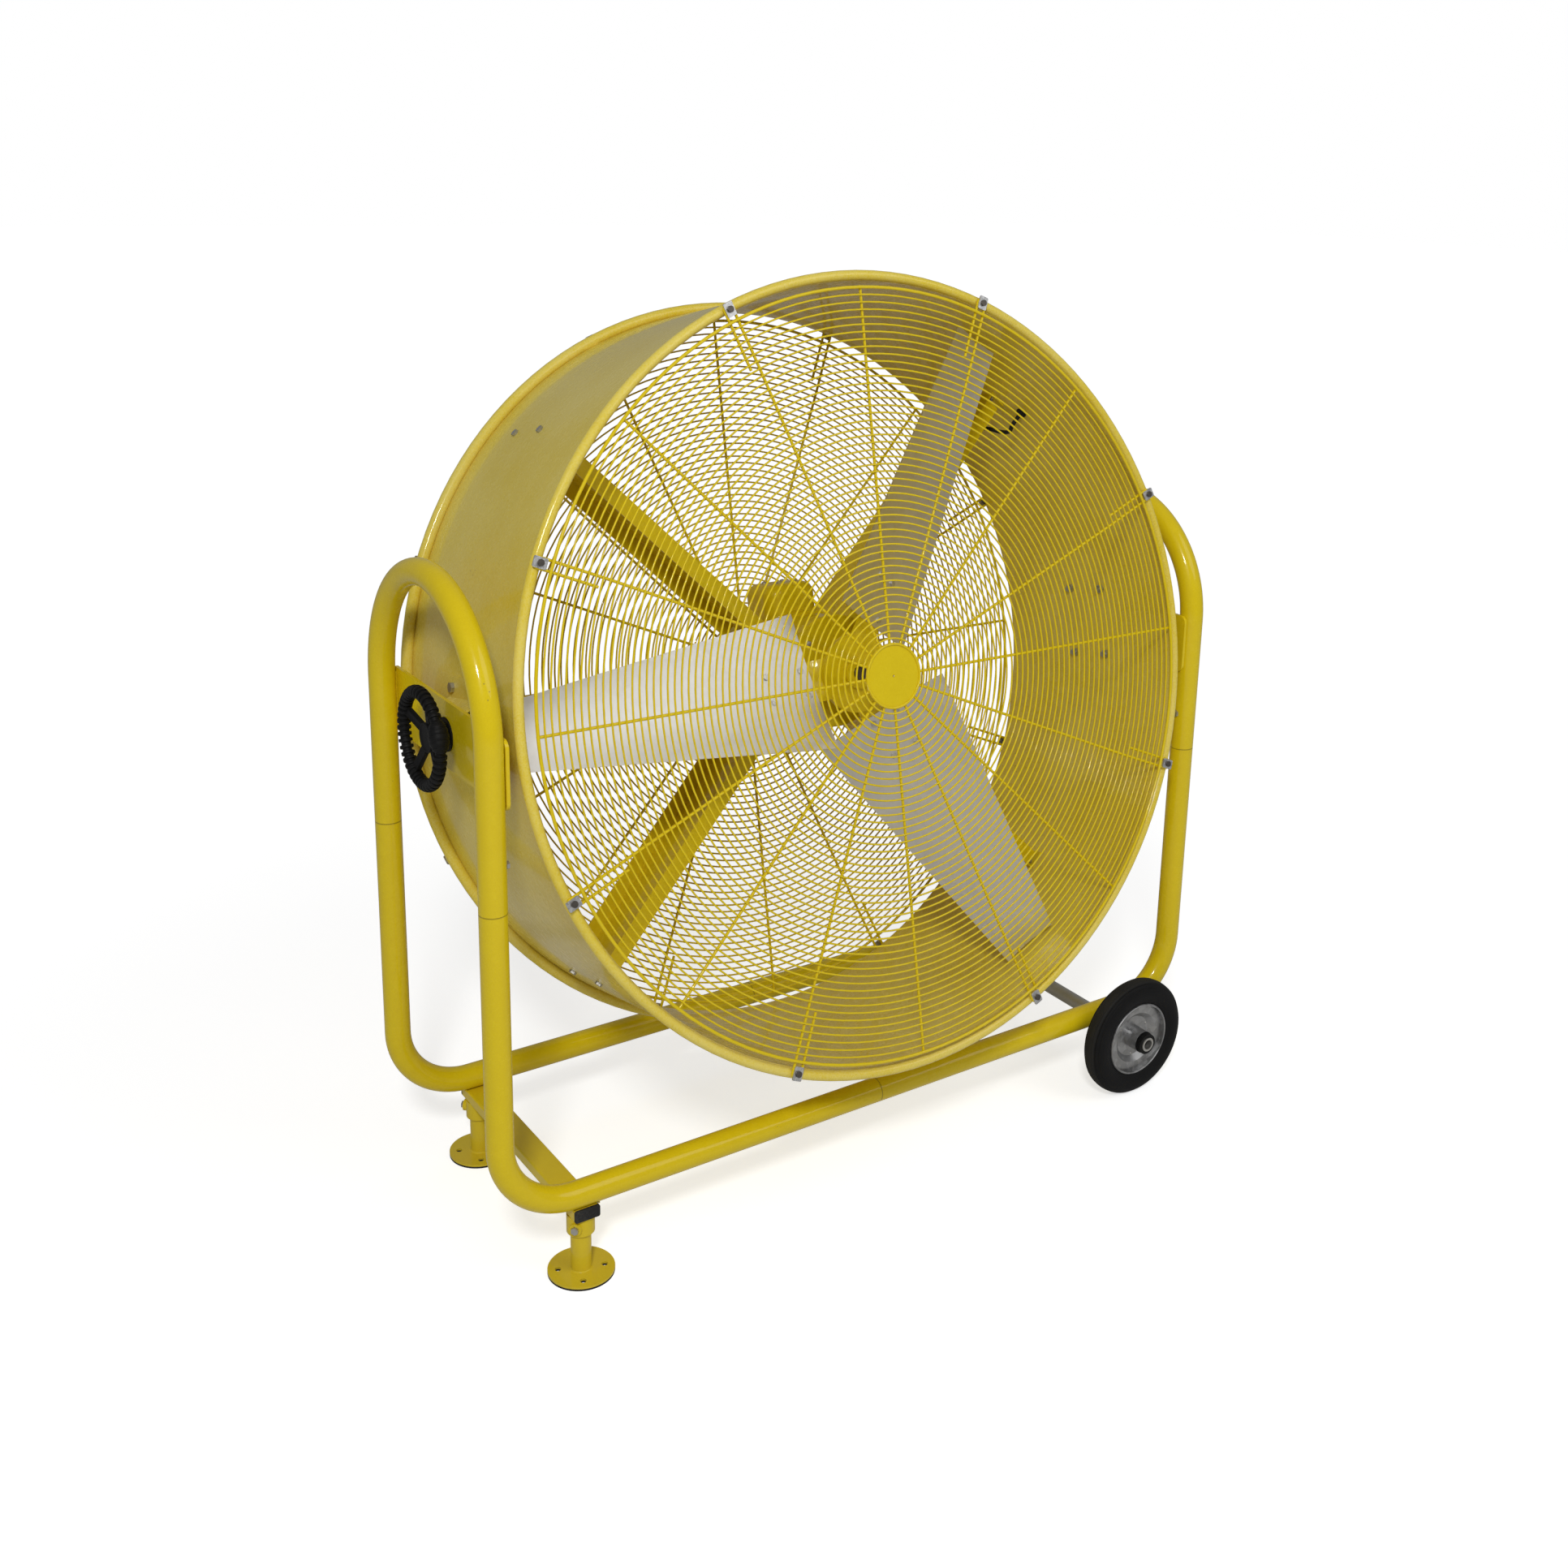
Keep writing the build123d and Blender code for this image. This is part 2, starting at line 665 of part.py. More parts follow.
# The handwheel is drawn with its axis along Z, its seat at Z = 0 and its lobe along X.
with BuildPart() as handwheel:
    with BuildSketch():
        Circle(handwheel_boss_r)
    extrude(amount=handwheel_hub_len)
    with BuildSketch(Plane.XY.offset(handwheel_hub_len - handwheel_disc_len)):
        Circle(handwheel_hub_r)
    extrude(amount=handwheel_disc_len)
    with BuildSketch(Plane.XZ.rotated((0, 0, 180 / handwheel_spokes))):
        with Locations((handwheel_rim_r, handwheel_rim_out)):
            Circle(handwheel_rim_wire_r)
    revolve(axis=Axis.Z)
    half = handwheel_spoke_thickness / 2
    for spoke in range(handwheel_spokes):
        turn = (spoke + 0.5) * 360 / handwheel_spokes
        with BuildSketch(Plane.XZ.rotated((0, 0, turn))):
            Polygon(
                (handwheel_spoke_root_r, handwheel_spoke_root_z - half),
                (handwheel_rim_r, handwheel_rim_out - half),
                (handwheel_rim_r, handwheel_rim_out + half),
                (handwheel_spoke_root_r, handwheel_spoke_root_z + half),
                align=None,
            )
        extrude(amount=handwheel_spoke_width / 2, both=True)
    with BuildSketch(Plane.XY.offset(handwheel_rim_out)):
        with Locations((handwheel_rim_r, 0)):
            Ellipse(handwheel_lobe_half_width, handwheel_lobe_half_len)
        with Locations((handwheel_rim_r - handwheel_lobe_half_width, 0)):
            Rectangle(2 * handwheel_lobe_half_width, 2 * handwheel_lobe_half_len, mode=Mode.SUBTRACT)
    revolve(axis=Axis((handwheel_rim_r, 0, handwheel_rim_out), (0, 1, 0)))
    with BuildSketch():
        Circle(stud_r + stud_gap)
    extrude(amount=handwheel_bore_len, mode=Mode.SUBTRACT)
handwheel_plane = Plane(
    origin=(-outer_washer_face, 0, pivot_z), x_dir=(0, -1, 0), z_dir=(-1, 0, 0)
).rotated((-handwheel_turn, 0, 0))
handwheel.part = handwheel.part.moved(handwheel_plane.location)
keep(handwheel, "handwheel")

# ==== drum ========================================================================================
def strut_turn(angle):
    """Which way the foot of the strut at this angle is folded: towards the nearer pivot."""
    return 1 if angle in strut_angles[1::2] else -1


def strut_bolt_places(radius, beside, spacing):
    """Where the strut bolts cross a radius, the given way beside each strut's web."""
    lean = degrees(asin(beside / radius))
    return [
        wall_plane(angle + strut_turn(angle) * lean, radius, strut_mid + end * spacing / 2)
        for angle in strut_angles
        for end in (-1, 1)
    ]


def screw_places(axial, facing):
    """The seats of the clip screws of one grille, on a plane across the drum's axis."""
    seats = []
    for k in range(radial_pairs):
        angle = radians(grille_turn + 360 / radial_pairs * (k + 0.5))
        spot = (screw_circle_r * cos(angle), screw_circle_r * sin(angle), axial)
        seats.append(Plane(origin=spot, x_dir=(cos(angle), sin(angle), 0), z_dir=(0, 0, facing)))
    return seats


front_face = drum_front + front_bead_r
rear_face = drum_rear - rear_bead_r
with BuildPart() as drum_shell:
    with BuildSketch(Plane.XZ):
        with Locations((drum_inner_r + drum_sheet / 2, (drum_front + drum_rear) / 2)):
            Rectangle(drum_sheet, drum_front - drum_rear)
        with Locations((front_bead_centre_r, drum_front)):
            Circle(front_bead_r)
        with Locations((rear_bead_centre_r, drum_rear)):
            Circle(rear_bead_r)
    revolve(axis=Axis.Z)
    with Locations(*bracket_bolt_places(drum_outer_r + bracket_sheet)):
        Hole(m8_r + bolt_gap, depth=bracket_sheet + 2 * drum_sheet)
    with Locations(*strut_bolt_places(drum_outer_r, strut_bolt_y, strut_bolt_spacing)):
        Hole(m6_r + bolt_gap, depth=2 * drum_sheet)
    with Locations(*screw_places(front_face, 1), *screw_places(rear_face, -1)):
        Hole(screw_r + screw_gap, depth=screw_depth)
    with Locations(wall_plane(grommet_angle, drum_outer_r + drum_sheet, grommet_z)):
        Hole(grommet_r - grommet_lip, depth=3 * drum_sheet)
keep(drum_shell, "drum_shell", in_fan=True)

# ==== grilles =====================================================================================
radial_lift = radial_wire_r + rest_gap
ring_lift = radial_lift + radial_wire_r + ring_wire_r - weld_sink
rim_lift = radial_lift + radial_wire_r + rim_wire_r - weld_sink
clip_lift = radial_lift + radial_wire_r
ring_pitch = (ring_outer_r - ring_inner_r) / (ring_count - 1)

for facing, face_z, name in ((1, front_face, "front"), (-1, rear_face, "rear")):
    with BuildPart() as grille_rings:
        with BuildSketch(Plane.XZ):
            with Locations(
                *[
                    (ring_inner_r + ring_pitch * k, face_z + facing * ring_lift)
                    for k in range(ring_count - 1)
                ]
            ):
                Ellipse(ring_wire_r * wire_flat, ring_wire_r)
            with Locations((ring_outer_r, face_z + facing * rim_lift)):
                Ellipse(rim_wire_r * wire_flat, rim_wire_r)
        revolve(axis=Axis.Z)
    keep(grille_rings, f"{name}_grille_rings", in_fan=True)

    radial_plane = Plane.XY.offset(face_z + facing * radial_lift)
    with BuildLine(radial_plane) as eye_path:
        FilletPolyline(
            (radial_inner_r, 0),
            (screw_circle_r - eye_run, -eye_r),
            (screw_circle_r, -eye_r),
            radius=eye_bend_r,
        )
        ThreePointArc(
            (screw_circle_r, -eye_r), (screw_circle_r + eye_r, 0), (screw_circle_r, eye_r)
        )
        Line((screw_circle_r, eye_r), (screw_circle_r - eye_return, eye_r))
    with BuildPart() as eye_wire:
        with BuildSketch(Plane(origin=eye_path.wire() @ 0, z_dir=eye_path.wire() % 0)):
            Circle(radial_wire_r)
        sweep(path=eye_path.wire())
    with BuildPart() as grille_radials:
        with PolarLocations(0, radial_pairs, start_angle=grille_turn + 180 / radial_pairs):
            add(eye_wire.part)
        for k in range(radial_pairs):
            spoke_angle = grille_turn + 360 / radial_pairs * k
            with Locations(
                wall_plane(spoke_angle, radial_inner_r, face_z + facing * radial_lift)
            ):
                Cylinder(
                    radial_wire_r,
                    ring_outer_r - radial_inner_r,
                    align=(Align.CENTER, Align.CENTER, Align.MIN),
                )
    keep(grille_radials, f"{name}_grille_radials", in_fan=True)

    with BuildPart() as centre_plate:
        plate_back = face_z + facing * clip_lift
        with BuildSketch(Plane.XZ):
            with Locations(
                ((centre_plate_r + centre_dimple_r) / 2, plate_back + facing * centre_plate_sheet / 2)
            ):
                Rectangle(centre_plate_r - centre_dimple_r, centre_plate_sheet)
            with Locations(
                (centre_plate_r - centre_plate_roll_r, plate_back + facing * centre_plate_roll_r)
            ):
                Circle(centre_plate_roll_r)
        revolve(axis=Axis.Z)
    keep(centre_plate, f"{name}_centre_plate", in_fan=True)

    with BuildPart() as grille_clips:
        for seat in screw_places(face_z + facing * clip_lift, facing):
            with BuildSketch(seat):
                RectangleRounded(clip_len, clip_width, clip_corner_r)
                Circle(screw_r + screw_gap, mode=Mode.SUBTRACT)
            extrude(amount=clip_thickness)
    keep(grille_clips, f"{name}_clips", in_fan=True)

with BuildPart() as clip_screws:
    screw_len = clip_thickness + clip_lift + screw_depth / 2
    for seat in (
        *screw_places(front_face + clip_lift + clip_thickness, 1),
        *screw_places(rear_face - clip_lift - clip_thickness, -1),
    ):
        with BuildSketch(seat):
            Circle(screw_head_r)
        extrude(amount=screw_head_len)
        with BuildSketch(seat):
            Circle(screw_r)
        extrude(amount=-screw_len)
keep(clip_screws, "clip_screws", in_fan=True)

# ==== struts and motor ============================================================================
strut_foot_r = drum_inner_r - rest_gap
strut_root_r = mount_ring_r + rest_gap
with BuildPart() as strut:
    with BuildSketch(Plane.XY.offset(strut_front - strut_depth)):
        with BuildSketch(mode=Mode.PRIVATE) as strut_field:
            with Locations(((strut_foot_r + strut_root_r) / 2, strut_foot / 2 - strut_sheet / 4)):
                Rectangle(strut_foot_r - strut_root_r + strut_foot, strut_foot + strut_sheet / 2)
        add(strut_field.sketch)
        Circle(strut_foot_r, mode=Mode.INTERSECT)
        Circle(strut_root_r, mode=Mode.SUBTRACT)
        with BuildSketch(mode=Mode.PRIVATE) as strut_hollow:
            Circle(strut_foot_r - strut_sheet)
            Circle(strut_root_r + strut_sheet, mode=Mode.SUBTRACT)
            with Locations((strut_foot_r / 2, strut_sheet / 2 + strut_foot)):
                Rectangle(2 * strut_foot_r, 2 * strut_foot, mode=Mode.INTERSECT)
        add(strut_hollow.sketch, mode=Mode.SUBTRACT)
    extrude(amount=strut_depth)
    for lip_z in (strut_front - strut_sheet, strut_front - strut_depth):
        with BuildSketch(Plane.XY.offset(lip_z)):
            lip_inner = strut_root_r + strut_sheet + strut_end_clear
            lip_outer = strut_foot_r - strut_sheet - strut_end_clear
            with Locations(((lip_inner + lip_outer) / 2, strut_lip / 2)):
                Rectangle(lip_outer - lip_inner, strut_lip)
        extrude(amount=strut_sheet)

mirrored_strut = strut.part.mirror(Plane.XZ)
with BuildPart() as motor_struts:
    for angle in strut_angles:
        with Locations(Location((0, 0, 0), (0, 0, angle))):
            add(strut.part if strut_turn(angle) > 0 else mirrored_strut)
    with Locations(*strut_bolt_places(drum_outer_r, strut_bolt_y, strut_bolt_spacing)):
        Hole(m6_r + bolt_gap, depth=drum_sheet + 2 * strut_sheet)
    inner_seat_r = strut_root_r + strut_sheet
    with Locations(*strut_bolt_places(inner_seat_r, strut_inner_bolt_y, strut_inner_bolt_spacing)):
        Hole(m6_r + bolt_gap, depth=2 * strut_sheet)
keep(motor_struts, "motor_struts", in_fan=True)

strut_nut_relief = m6_hex**2 / drum_inner_r
with BuildPart() as strut_bolts:
    with Locations(*strut_bolt_places(drum_outer_r, strut_bolt_y, strut_bolt_spacing)):
        add(
            hex_bolt(
                m6_r,
                m6_hex,
                m6_head,
                drum_sheet + strut_sheet + 2 * m6_head,
                nut_len=m6_head,
                nut_at=drum_sheet + strut_sheet + rest_gap + strut_nut_relief,
            )
        )
    with Locations(*strut_bolt_places(inner_seat_r, strut_inner_bolt_y, strut_inner_bolt_spacing)):
        add(hex_bolt(m6_r, m6_hex, m6_head, strut_sheet + rest_gap + mount_ring_wall - rest_gap))
keep(strut_bolts, "strut_bolts", in_fan=True)

with BuildPart() as motor_mount_ring:
    with BuildSketch(Plane.XY.offset(mount_ring_rear)):
        Circle(mount_ring_r)
        Circle(mount_ring_inner_r, mode=Mode.SUBTRACT)
    extrude(amount=mount_ring_len)
    with Locations(*strut_bolt_places(inner_seat_r, strut_inner_bolt_y, strut_inner_bolt_spacing)):
        Hole(m6_r, depth=strut_sheet + 2 * mount_ring_wall)
keep(motor_mount_ring, "motor_mount_ring", in_fan=True)

gland_place = wall_plane(gland_angle, motor_r, gland_z)
motor_bore_r = motor_r - motor_wall
with BuildPart() as motor_barrel:
    with BuildSketch(Plane.XY.offset(motor_rear)):
        Circle(motor_r)
        Circle(motor_bore_r, mode=Mode.SUBTRACT)
    extrude(amount=motor_front - motor_rear)
    with BuildSketch(gland_place):
        Circle(lead_r + bolt_gap)
    extrude(amount=-2 * motor_wall, mode=Mode.SUBTRACT)
keep(motor_barrel, "motor_barrel", in_fan=True)

shaft_clear_r = shaft_r + 1.0
with BuildPart() as motor_front_bell:
    with BuildSketch(Plane.XY.offset(motor_front)):
        Circle(motor_r)
    extrude(amount=front_bell_len)
    fillet(motor_front_bell.edges().group_by(Axis.Z)[-1], bell_wall / 2)
    with BuildSketch(Plane.XY.offset(motor_front + front_bell_len)):
        Circle(front_boss_r)
    extrude(amount=front_boss_len)
    with BuildSketch(Plane.XY.offset(motor_front)):
        Circle(bearing_r)
    extrude(amount=bearing_len, mode=Mode.SUBTRACT)
    with BuildSketch(Plane.XY.offset(motor_front)):
        Circle(shaft_clear_r)
    extrude(amount=front_bell_len + front_boss_len, mode=Mode.SUBTRACT)
keep(motor_front_bell, "motor_front_bell", in_fan=True)

rear_inner_z = motor_rear - rear_bell_len + bell_wall
with BuildPart() as motor_rear_bell:
    with BuildSketch(Plane.XY.offset(motor_rear)):
        Circle(motor_r)
    extrude(amount=-rear_bell_len)
    fillet(motor_rear_bell.edges().group_by(Axis.Z)[0], rear_bell_fillet)
    with BuildSketch(Plane.XY.offset(motor_rear)):
        Circle(motor_r - rear_bell_fillet)
        Circle(bearing_r + bell_wall, mode=Mode.SUBTRACT)
    extrude(amount=bell_wall - rear_bell_len, mode=Mode.SUBTRACT)
    with BuildSketch(Plane.XY.offset(rear_inner_z)):
        Circle(bearing_r)
    extrude(amount=rear_bell_len, mode=Mode.SUBTRACT)
    with BuildSketch(Plane.XY.offset(rear_inner_z + bearing_len)):
        Circle(bearing_r + 2 * bell_wall)
    extrude(amount=rear_bell_len, mode=Mode.SUBTRACT)
keep(motor_rear_bell, "motor_rear_bell", in_fan=True)

with BuildPart() as stator_core:
    with BuildSketch(Plane.XY.offset(core_front - core_len)):
        Circle(motor_bore_r - motor_fit)
        Circle(stator_bore_r, mode=Mode.SUBTRACT)
    extrude(amount=core_len)
keep(stator_core, "stator_core", in_fan=True)

with BuildPart() as motor_bearings:
    for bearing_rear in (motor_front, rear_inner_z):
        with BuildSketch(Plane.XY.offset(bearing_rear)):
            Circle(bearing_r)
            Circle(shaft_r + bearing_gap, mode=Mode.SUBTRACT)
        extrude(amount=bearing_len)
keep(motor_bearings, "motor_bearings", in_fan=True)

box_rear = box_front - box_len
box_floor_r = mount_ring_r + rest_gap


def box_block(half_width, low, top, rear, front, corner_r):
    """A block of the terminal box with its long edges rounded, standing on the motor."""
    with BuildPart() as block:
        with BuildSketch(Plane.XZ.offset(-low)):
            with Locations((0, (rear + front) / 2)):
                RectangleRounded(2 * half_width, front - rear, corner_r)
        extrude(amount=-(top - low))
    return block.part


lid_low = box_top - lid_height
with BuildPart() as terminal_box:
    add(box_block(box_half_width, motor_r / 2, lid_low, box_rear, box_front, box_corner_r))
    add(
        box_block(
            box_half_width - box_wall,
            motor_r / 2,
            lid_low,
            box_rear + box_wall,
            box_front - box_wall,
            box_corner_r - box_wall,
        ),
        mode=Mode.SUBTRACT,
    )
    with BuildSketch(Plane.XY.offset(box_rear)):
        Circle(box_floor_r)
    extrude(amount=box_len, mode=Mode.SUBTRACT)
keep(terminal_box, "terminal_box", in_fan=True)


def lid_block(inset):
    """The lid's outer shape, or the room inside it when inset by the wall."""
    with BuildPart() as block:
        add(
            box_block(
                box_half_width - inset,
                lid_low,
                box_top - inset,
                box_rear + inset,
                box_front - inset,
                box_corner_r - inset,
            )
        )
        fillet(block.edges().group_by(Axis.Y)[-1], lid_dome_r - inset)
    return block.part


with BuildPart() as terminal_box_lid:
    add(lid_block(0))
    add(lid_block(box_wall), mode=Mode.SUBTRACT)
keep(terminal_box_lid, "terminal_box_lid", in_fan=True)

lead_bore_r = lead_r + rest_gap
with BuildPart() as cable_gland:
    with BuildSketch(gland_place.offset(rest_gap)):
        RegularPolygon(gland_r + 1.0, 6, major_radius=False)
    extrude(amount=gland_len / 3)
    with BuildSketch(gland_place.offset(rest_gap + gland_len / 3)):
        Circle(gland_r)
    extrude(amount=gland_len * 2 / 3)
    with BuildSketch(gland_place):
        Circle(lead_bore_r)
    extrude(amount=2 * gland_len, mode=Mode.SUBTRACT)
keep(cable_gland, "cable_gland", in_fan=True)


def lead_point(radius, angle, axial):
    """A point of the motor lead's route, by radius and angle in the drum."""
    return Vector(radius * cos(radians(angle)), radius * sin(radians(angle)), axial)


def beside_strut(along, beside, axial):
    """A point beside the web of the first strut, on its open side."""
    lean = degrees(atan2(beside, along))
    return lead_point(hypot(along, beside), strut_angles[0] - lean, axial)


lead_route = [
    lead_point(motor_r - motor_wall, gland_angle, gland_z),
    lead_point(150, gland_angle, gland_z),
    lead_point(215, 31, -22),
    beside_strut(270, 13, -58),
    beside_strut(380, 13, -60),
    beside_strut(490, 14, -66),
    lead_point(546, 40, -62),
    lead_point(553, 37, -20),
    lead_point(543, grommet_angle, grommet_z),
    lead_point(drum_outer_r, grommet_angle, grommet_z),
]


def bend_radii(points):
    """The largest arc that each corner's two runs allow."""
    radii = []
    for before, here, after in zip(points, points[1:], points[2:]):
        turn = (here - before).get_angle(after - here)
        shorter = min((here - before).length, (after - here).length)
        radii.append(0.45 * shorter / tan(radians(turn / 2)))
    return radii


lead_radii = bend_radii(lead_route)
print("motor lead bends", [round(r, 1) for r in lead_radii])
with BuildLine() as lead_path:
    FilletPolyline(*lead_route, radius=lead_radii)
with BuildPart() as motor_lead:
    with BuildSketch(Plane(origin=lead_path.wire() @ 0, z_dir=lead_path.wire() % 0)):
        Circle(lead_r)
    sweep(path=lead_path.wire())
print("motor lead volume", round(motor_lead.part.volume),
      "from its length", round(lead_path.wire().length * 3.14159265 * lead_r**2))
keep(motor_lead, "motor_lead", in_fan=True)

grommet_place = wall_plane(grommet_angle, drum_inner_r, grommet_z)
with BuildPart() as wall_grommet:
    with BuildSketch(grommet_place.offset(-grommet_lip)):
        Circle(grommet_r)
    extrude(amount=grommet_lip - grommet_r**2 / drum_inner_r)
    with BuildSketch(grommet_place.offset(-grommet_lip)):
        Circle(grommet_r - grommet_lip)
    extrude(amount=2 * grommet_lip + drum_sheet)
    with BuildSketch(grommet_place.offset(drum_sheet + rest_gap)):
        Circle(grommet_r)
    extrude(amount=grommet_lip)
    with BuildSketch(grommet_place.offset(-2 * grommet_lip)):
        Circle(lead_bore_r)
    extrude(amount=4 * grommet_lip + drum_sheet, mode=Mode.SUBTRACT)
keep(wall_grommet, "wall_grommet", in_fan=True)

# ==== rotor =======================================================================================
shaft_rear = rear_inner_z + 1.0
with BuildPart() as motor_shaft:
    with BuildSketch(Plane.XY.offset(shaft_rear)):
        Circle(shaft_r)
    extrude(amount=shaft_nose_start - shaft_rear)
    with BuildSketch(Plane.XY.offset(shaft_nose_start)):
        Circle(shaft_nose_r)
    extrude(amount=shaft_front - shaft_nose_start)
    chamfer(motor_shaft.edges().group_by(Axis.Z)[-1], shaft_chamfer)
    with BuildSketch(Plane.XZ.offset(keyway_depth - shaft_nose_r)):
        with Locations((0, shaft_front - keyway_len / 2)):
            Rectangle(keyway_width, keyway_len)
    extrude(amount=-keyway_depth, mode=Mode.SUBTRACT)
keep(motor_shaft, "motor_shaft", in_fan=True)

with BuildPart() as rotor_core:
    with BuildSketch(Plane.XY.offset(core_front - core_len)):
        Circle(stator_bore_r - core_gap)
        Circle(shaft_r, mode=Mode.SUBTRACT)
    extrude(amount=core_len)
keep(rotor_core, "rotor_core", in_fan=True)


def between(root, tip, radius):
    """The value of something that changes evenly from the blade's root to its tip."""
    return root + (tip - root) * (radius - blade_root_r) / (blade_tip_r - blade_root_r)


def section_plane(radius):
    """Plane of a blade section: X along the turning circle, Y to the front, origin on the chord."""
    return Plane(
        origin=(radius, 0, between(root_axial, tip_axial, radius)), x_dir=(0, 1, 0), z_dir=(1, 0, 0)
    )


def camber_radius(radius):
    """Radius of the arc that the blade's section follows."""
    chord = between(root_chord, tip_chord, radius)
    camber = between(root_camber, tip_camber, radius)
    return (chord**2 / 4 + camber**2) / (2 * camber)


def section_point(radius, along, lift):
    """A point of a section, along its chord from the middle and lifted off its sheet."""
    pitch = radians(between(root_pitch, tip_pitch, radius))
    camber = between(root_camber, tip_camber, radius)
    arc_r = camber_radius(radius)
    off_chord = lift - camber + arc_r - sqrt(arc_r**2 - along**2)
    return (
        along * cos(pitch) - off_chord * sin(pitch),
        along * sin(pitch) + off_chord * cos(pitch),
    )


def sheet_section(radius, half_width, low, high):
    """A curved strip of sheet across the blade at one radius, between two lifts off its middle."""
    with BuildSketch(section_plane(radius)) as strip:
        with BuildLine():
            ends = [section_point(radius, e * half_width, lift) for lift in (low, high) for e in (-1, 1)]
            ThreePointArc(ends[0], section_point(radius, 0, low), ends[1])
            Line(ends[1], ends[3])
            ThreePointArc(ends[3], section_point(radius, 0, high), ends[2])
            Line(ends[2], ends[0])
        make_face()
    return strip.sketch


with BuildPart() as rivet:
    rear_seat = blade_sheet / 2 + arm_sheet
    for head_z, way in ((blade_sheet / 2, 1), (-rear_seat, -1)):
        with BuildSketch(Plane.XY.offset(head_z)):
            Circle(rivet_head_r)
        extrude(amount=way * rivet_head_len)
    with BuildSketch(Plane.XY.offset(-rear_seat)):
        Circle(rivet_r)
    extrude(amount=rear_seat + blade_sheet / 2)


def rivet_planes():
    """A plane on the middle of the blade's sheet at each rivet of the blade along X."""
    planes = []
    for radius in rivet_radii:
        pitch = radians(between(root_pitch, tip_pitch, radius))
        for along in (-rivet_pitch / 2, rivet_pitch / 2):
            lean = pitch + asin(along / camber_radius(radius))
            x, y = section_point(radius, along, 0)
            origin = section_plane(radius).from_local_coords((x, y, 0))
            planes.append(Plane(origin=origin, x_dir=(1, 0, 0), z_dir=(0, -sin(lean), cos(lean))))
    return planes


with BuildPart() as blade_rivets:
    with BuildPart(mode=Mode.PRIVATE) as rivet_group:
        with Locations(*rivet_planes()):
            add(rivet.part)
    with PolarLocations(0, blade_count, start_angle=blade_angle):
        add(rivet_group.part)
keep(blade_rivets, "blade_rivets", in_fan=True)

with BuildPart() as blade:
    for radius in (blade_root_r, blade_tip_r):
        chord = between(root_chord, tip_chord, radius)
        add(sheet_section(radius, chord / 2, -blade_sheet / 2, blade_sheet / 2))
    loft()

with BuildPart() as fan_blades:
    with PolarLocations(0, blade_count, start_angle=blade_angle):
        add(blade.part)
    add(blade_rivets.part, mode=Mode.SUBTRACT)
keep(fan_blades, "fan_blades", in_fan=True)

# each arm leaves the hub plate flat, twists to the blade's pitch and follows its rear face
with BuildPart() as arm:
    half = arm_width / 2
    foot_z = hub_plate_z + (hub_plate_sheet - arm_sheet) / 2
    with BuildSketch(Plane(origin=(arm_start_r, 0, foot_z), x_dir=(0, 1, 0), z_dir=(1, 0, 0))):
        Polygon((-half, 0), (half, 0), (half, arm_sheet), (-half, arm_sheet), align=None)
    for radius in (arm_bend_r, arm_end_r):
        add(sheet_section(radius, half, -blade_sheet / 2 - arm_sheet, 0))
    loft(ruled=True)
    add(blade.part, mode=Mode.SUBTRACT)
    add(rivet_group.part, mode=Mode.SUBTRACT)

with BuildPart() as blade_hub:
    with BuildSketch(Plane.XY.offset(hub_plate_z)):
        Circle(hub_plate_r)
    extrude(amount=hub_plate_sheet)
    with BuildSketch(Plane.XY.offset(hub_barrel_rear)):
        Circle(hub_barrel_r)
    extrude(amount=hub_barrel_front - hub_barrel_rear)
    with PolarLocations(0, blade_count, start_angle=blade_angle):
        add(arm.part)
    with BuildSketch(Plane.XY.offset(hub_barrel_rear)):
        Circle(shaft_nose_r + hub_bore_gap)
    extrude(amount=hub_barrel_front - hub_barrel_rear, mode=Mode.SUBTRACT)
    with Locations(wall_plane(90, hub_barrel_r, set_screw_z)):
        Hole(set_screw_r, depth=hub_barrel_r - shaft_nose_r)
keep(blade_hub, "blade_hub", in_fan=True)

with BuildPart() as hub_set_screw:
    with BuildSketch(wall_plane(90, shaft_nose_r + rest_gap, set_screw_z)):
        Circle(set_screw_r)
    extrude(amount=hub_barrel_r - shaft_nose_r)
keep(hub_set_screw, "hub_set_screw", in_fan=True)

# ==== everything is placed with its origin under the middle of the overall box =====================
overall = Compound(list(pieces.values())).bounding_box()
to_origin = Location((-overall.center().X, -overall.center().Y, -overall.min.Z))
for label, piece in pieces.items():
    placed = piece.moved(to_origin)
    placed.label = label
    export_step(placed, f"parts/{label}.step")
print("pieces", len(pieces), "origin at", overall.center().X, overall.center().Y, overall.min.Z)
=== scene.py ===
import json
from math import acos, atan2, cos, pi, radians, sin, tau

import bpy
from mathutils import Matrix, Vector


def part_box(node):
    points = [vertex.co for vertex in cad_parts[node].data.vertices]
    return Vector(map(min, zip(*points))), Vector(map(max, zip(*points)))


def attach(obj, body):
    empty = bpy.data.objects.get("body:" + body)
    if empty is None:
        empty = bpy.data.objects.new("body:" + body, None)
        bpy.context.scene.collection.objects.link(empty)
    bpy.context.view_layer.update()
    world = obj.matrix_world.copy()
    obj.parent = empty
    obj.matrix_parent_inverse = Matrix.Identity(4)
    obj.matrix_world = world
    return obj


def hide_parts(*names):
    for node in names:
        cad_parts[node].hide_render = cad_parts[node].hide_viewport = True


# A drum fan in a tube frame, dressed for a still. Metres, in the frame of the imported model.
MM = 0.001

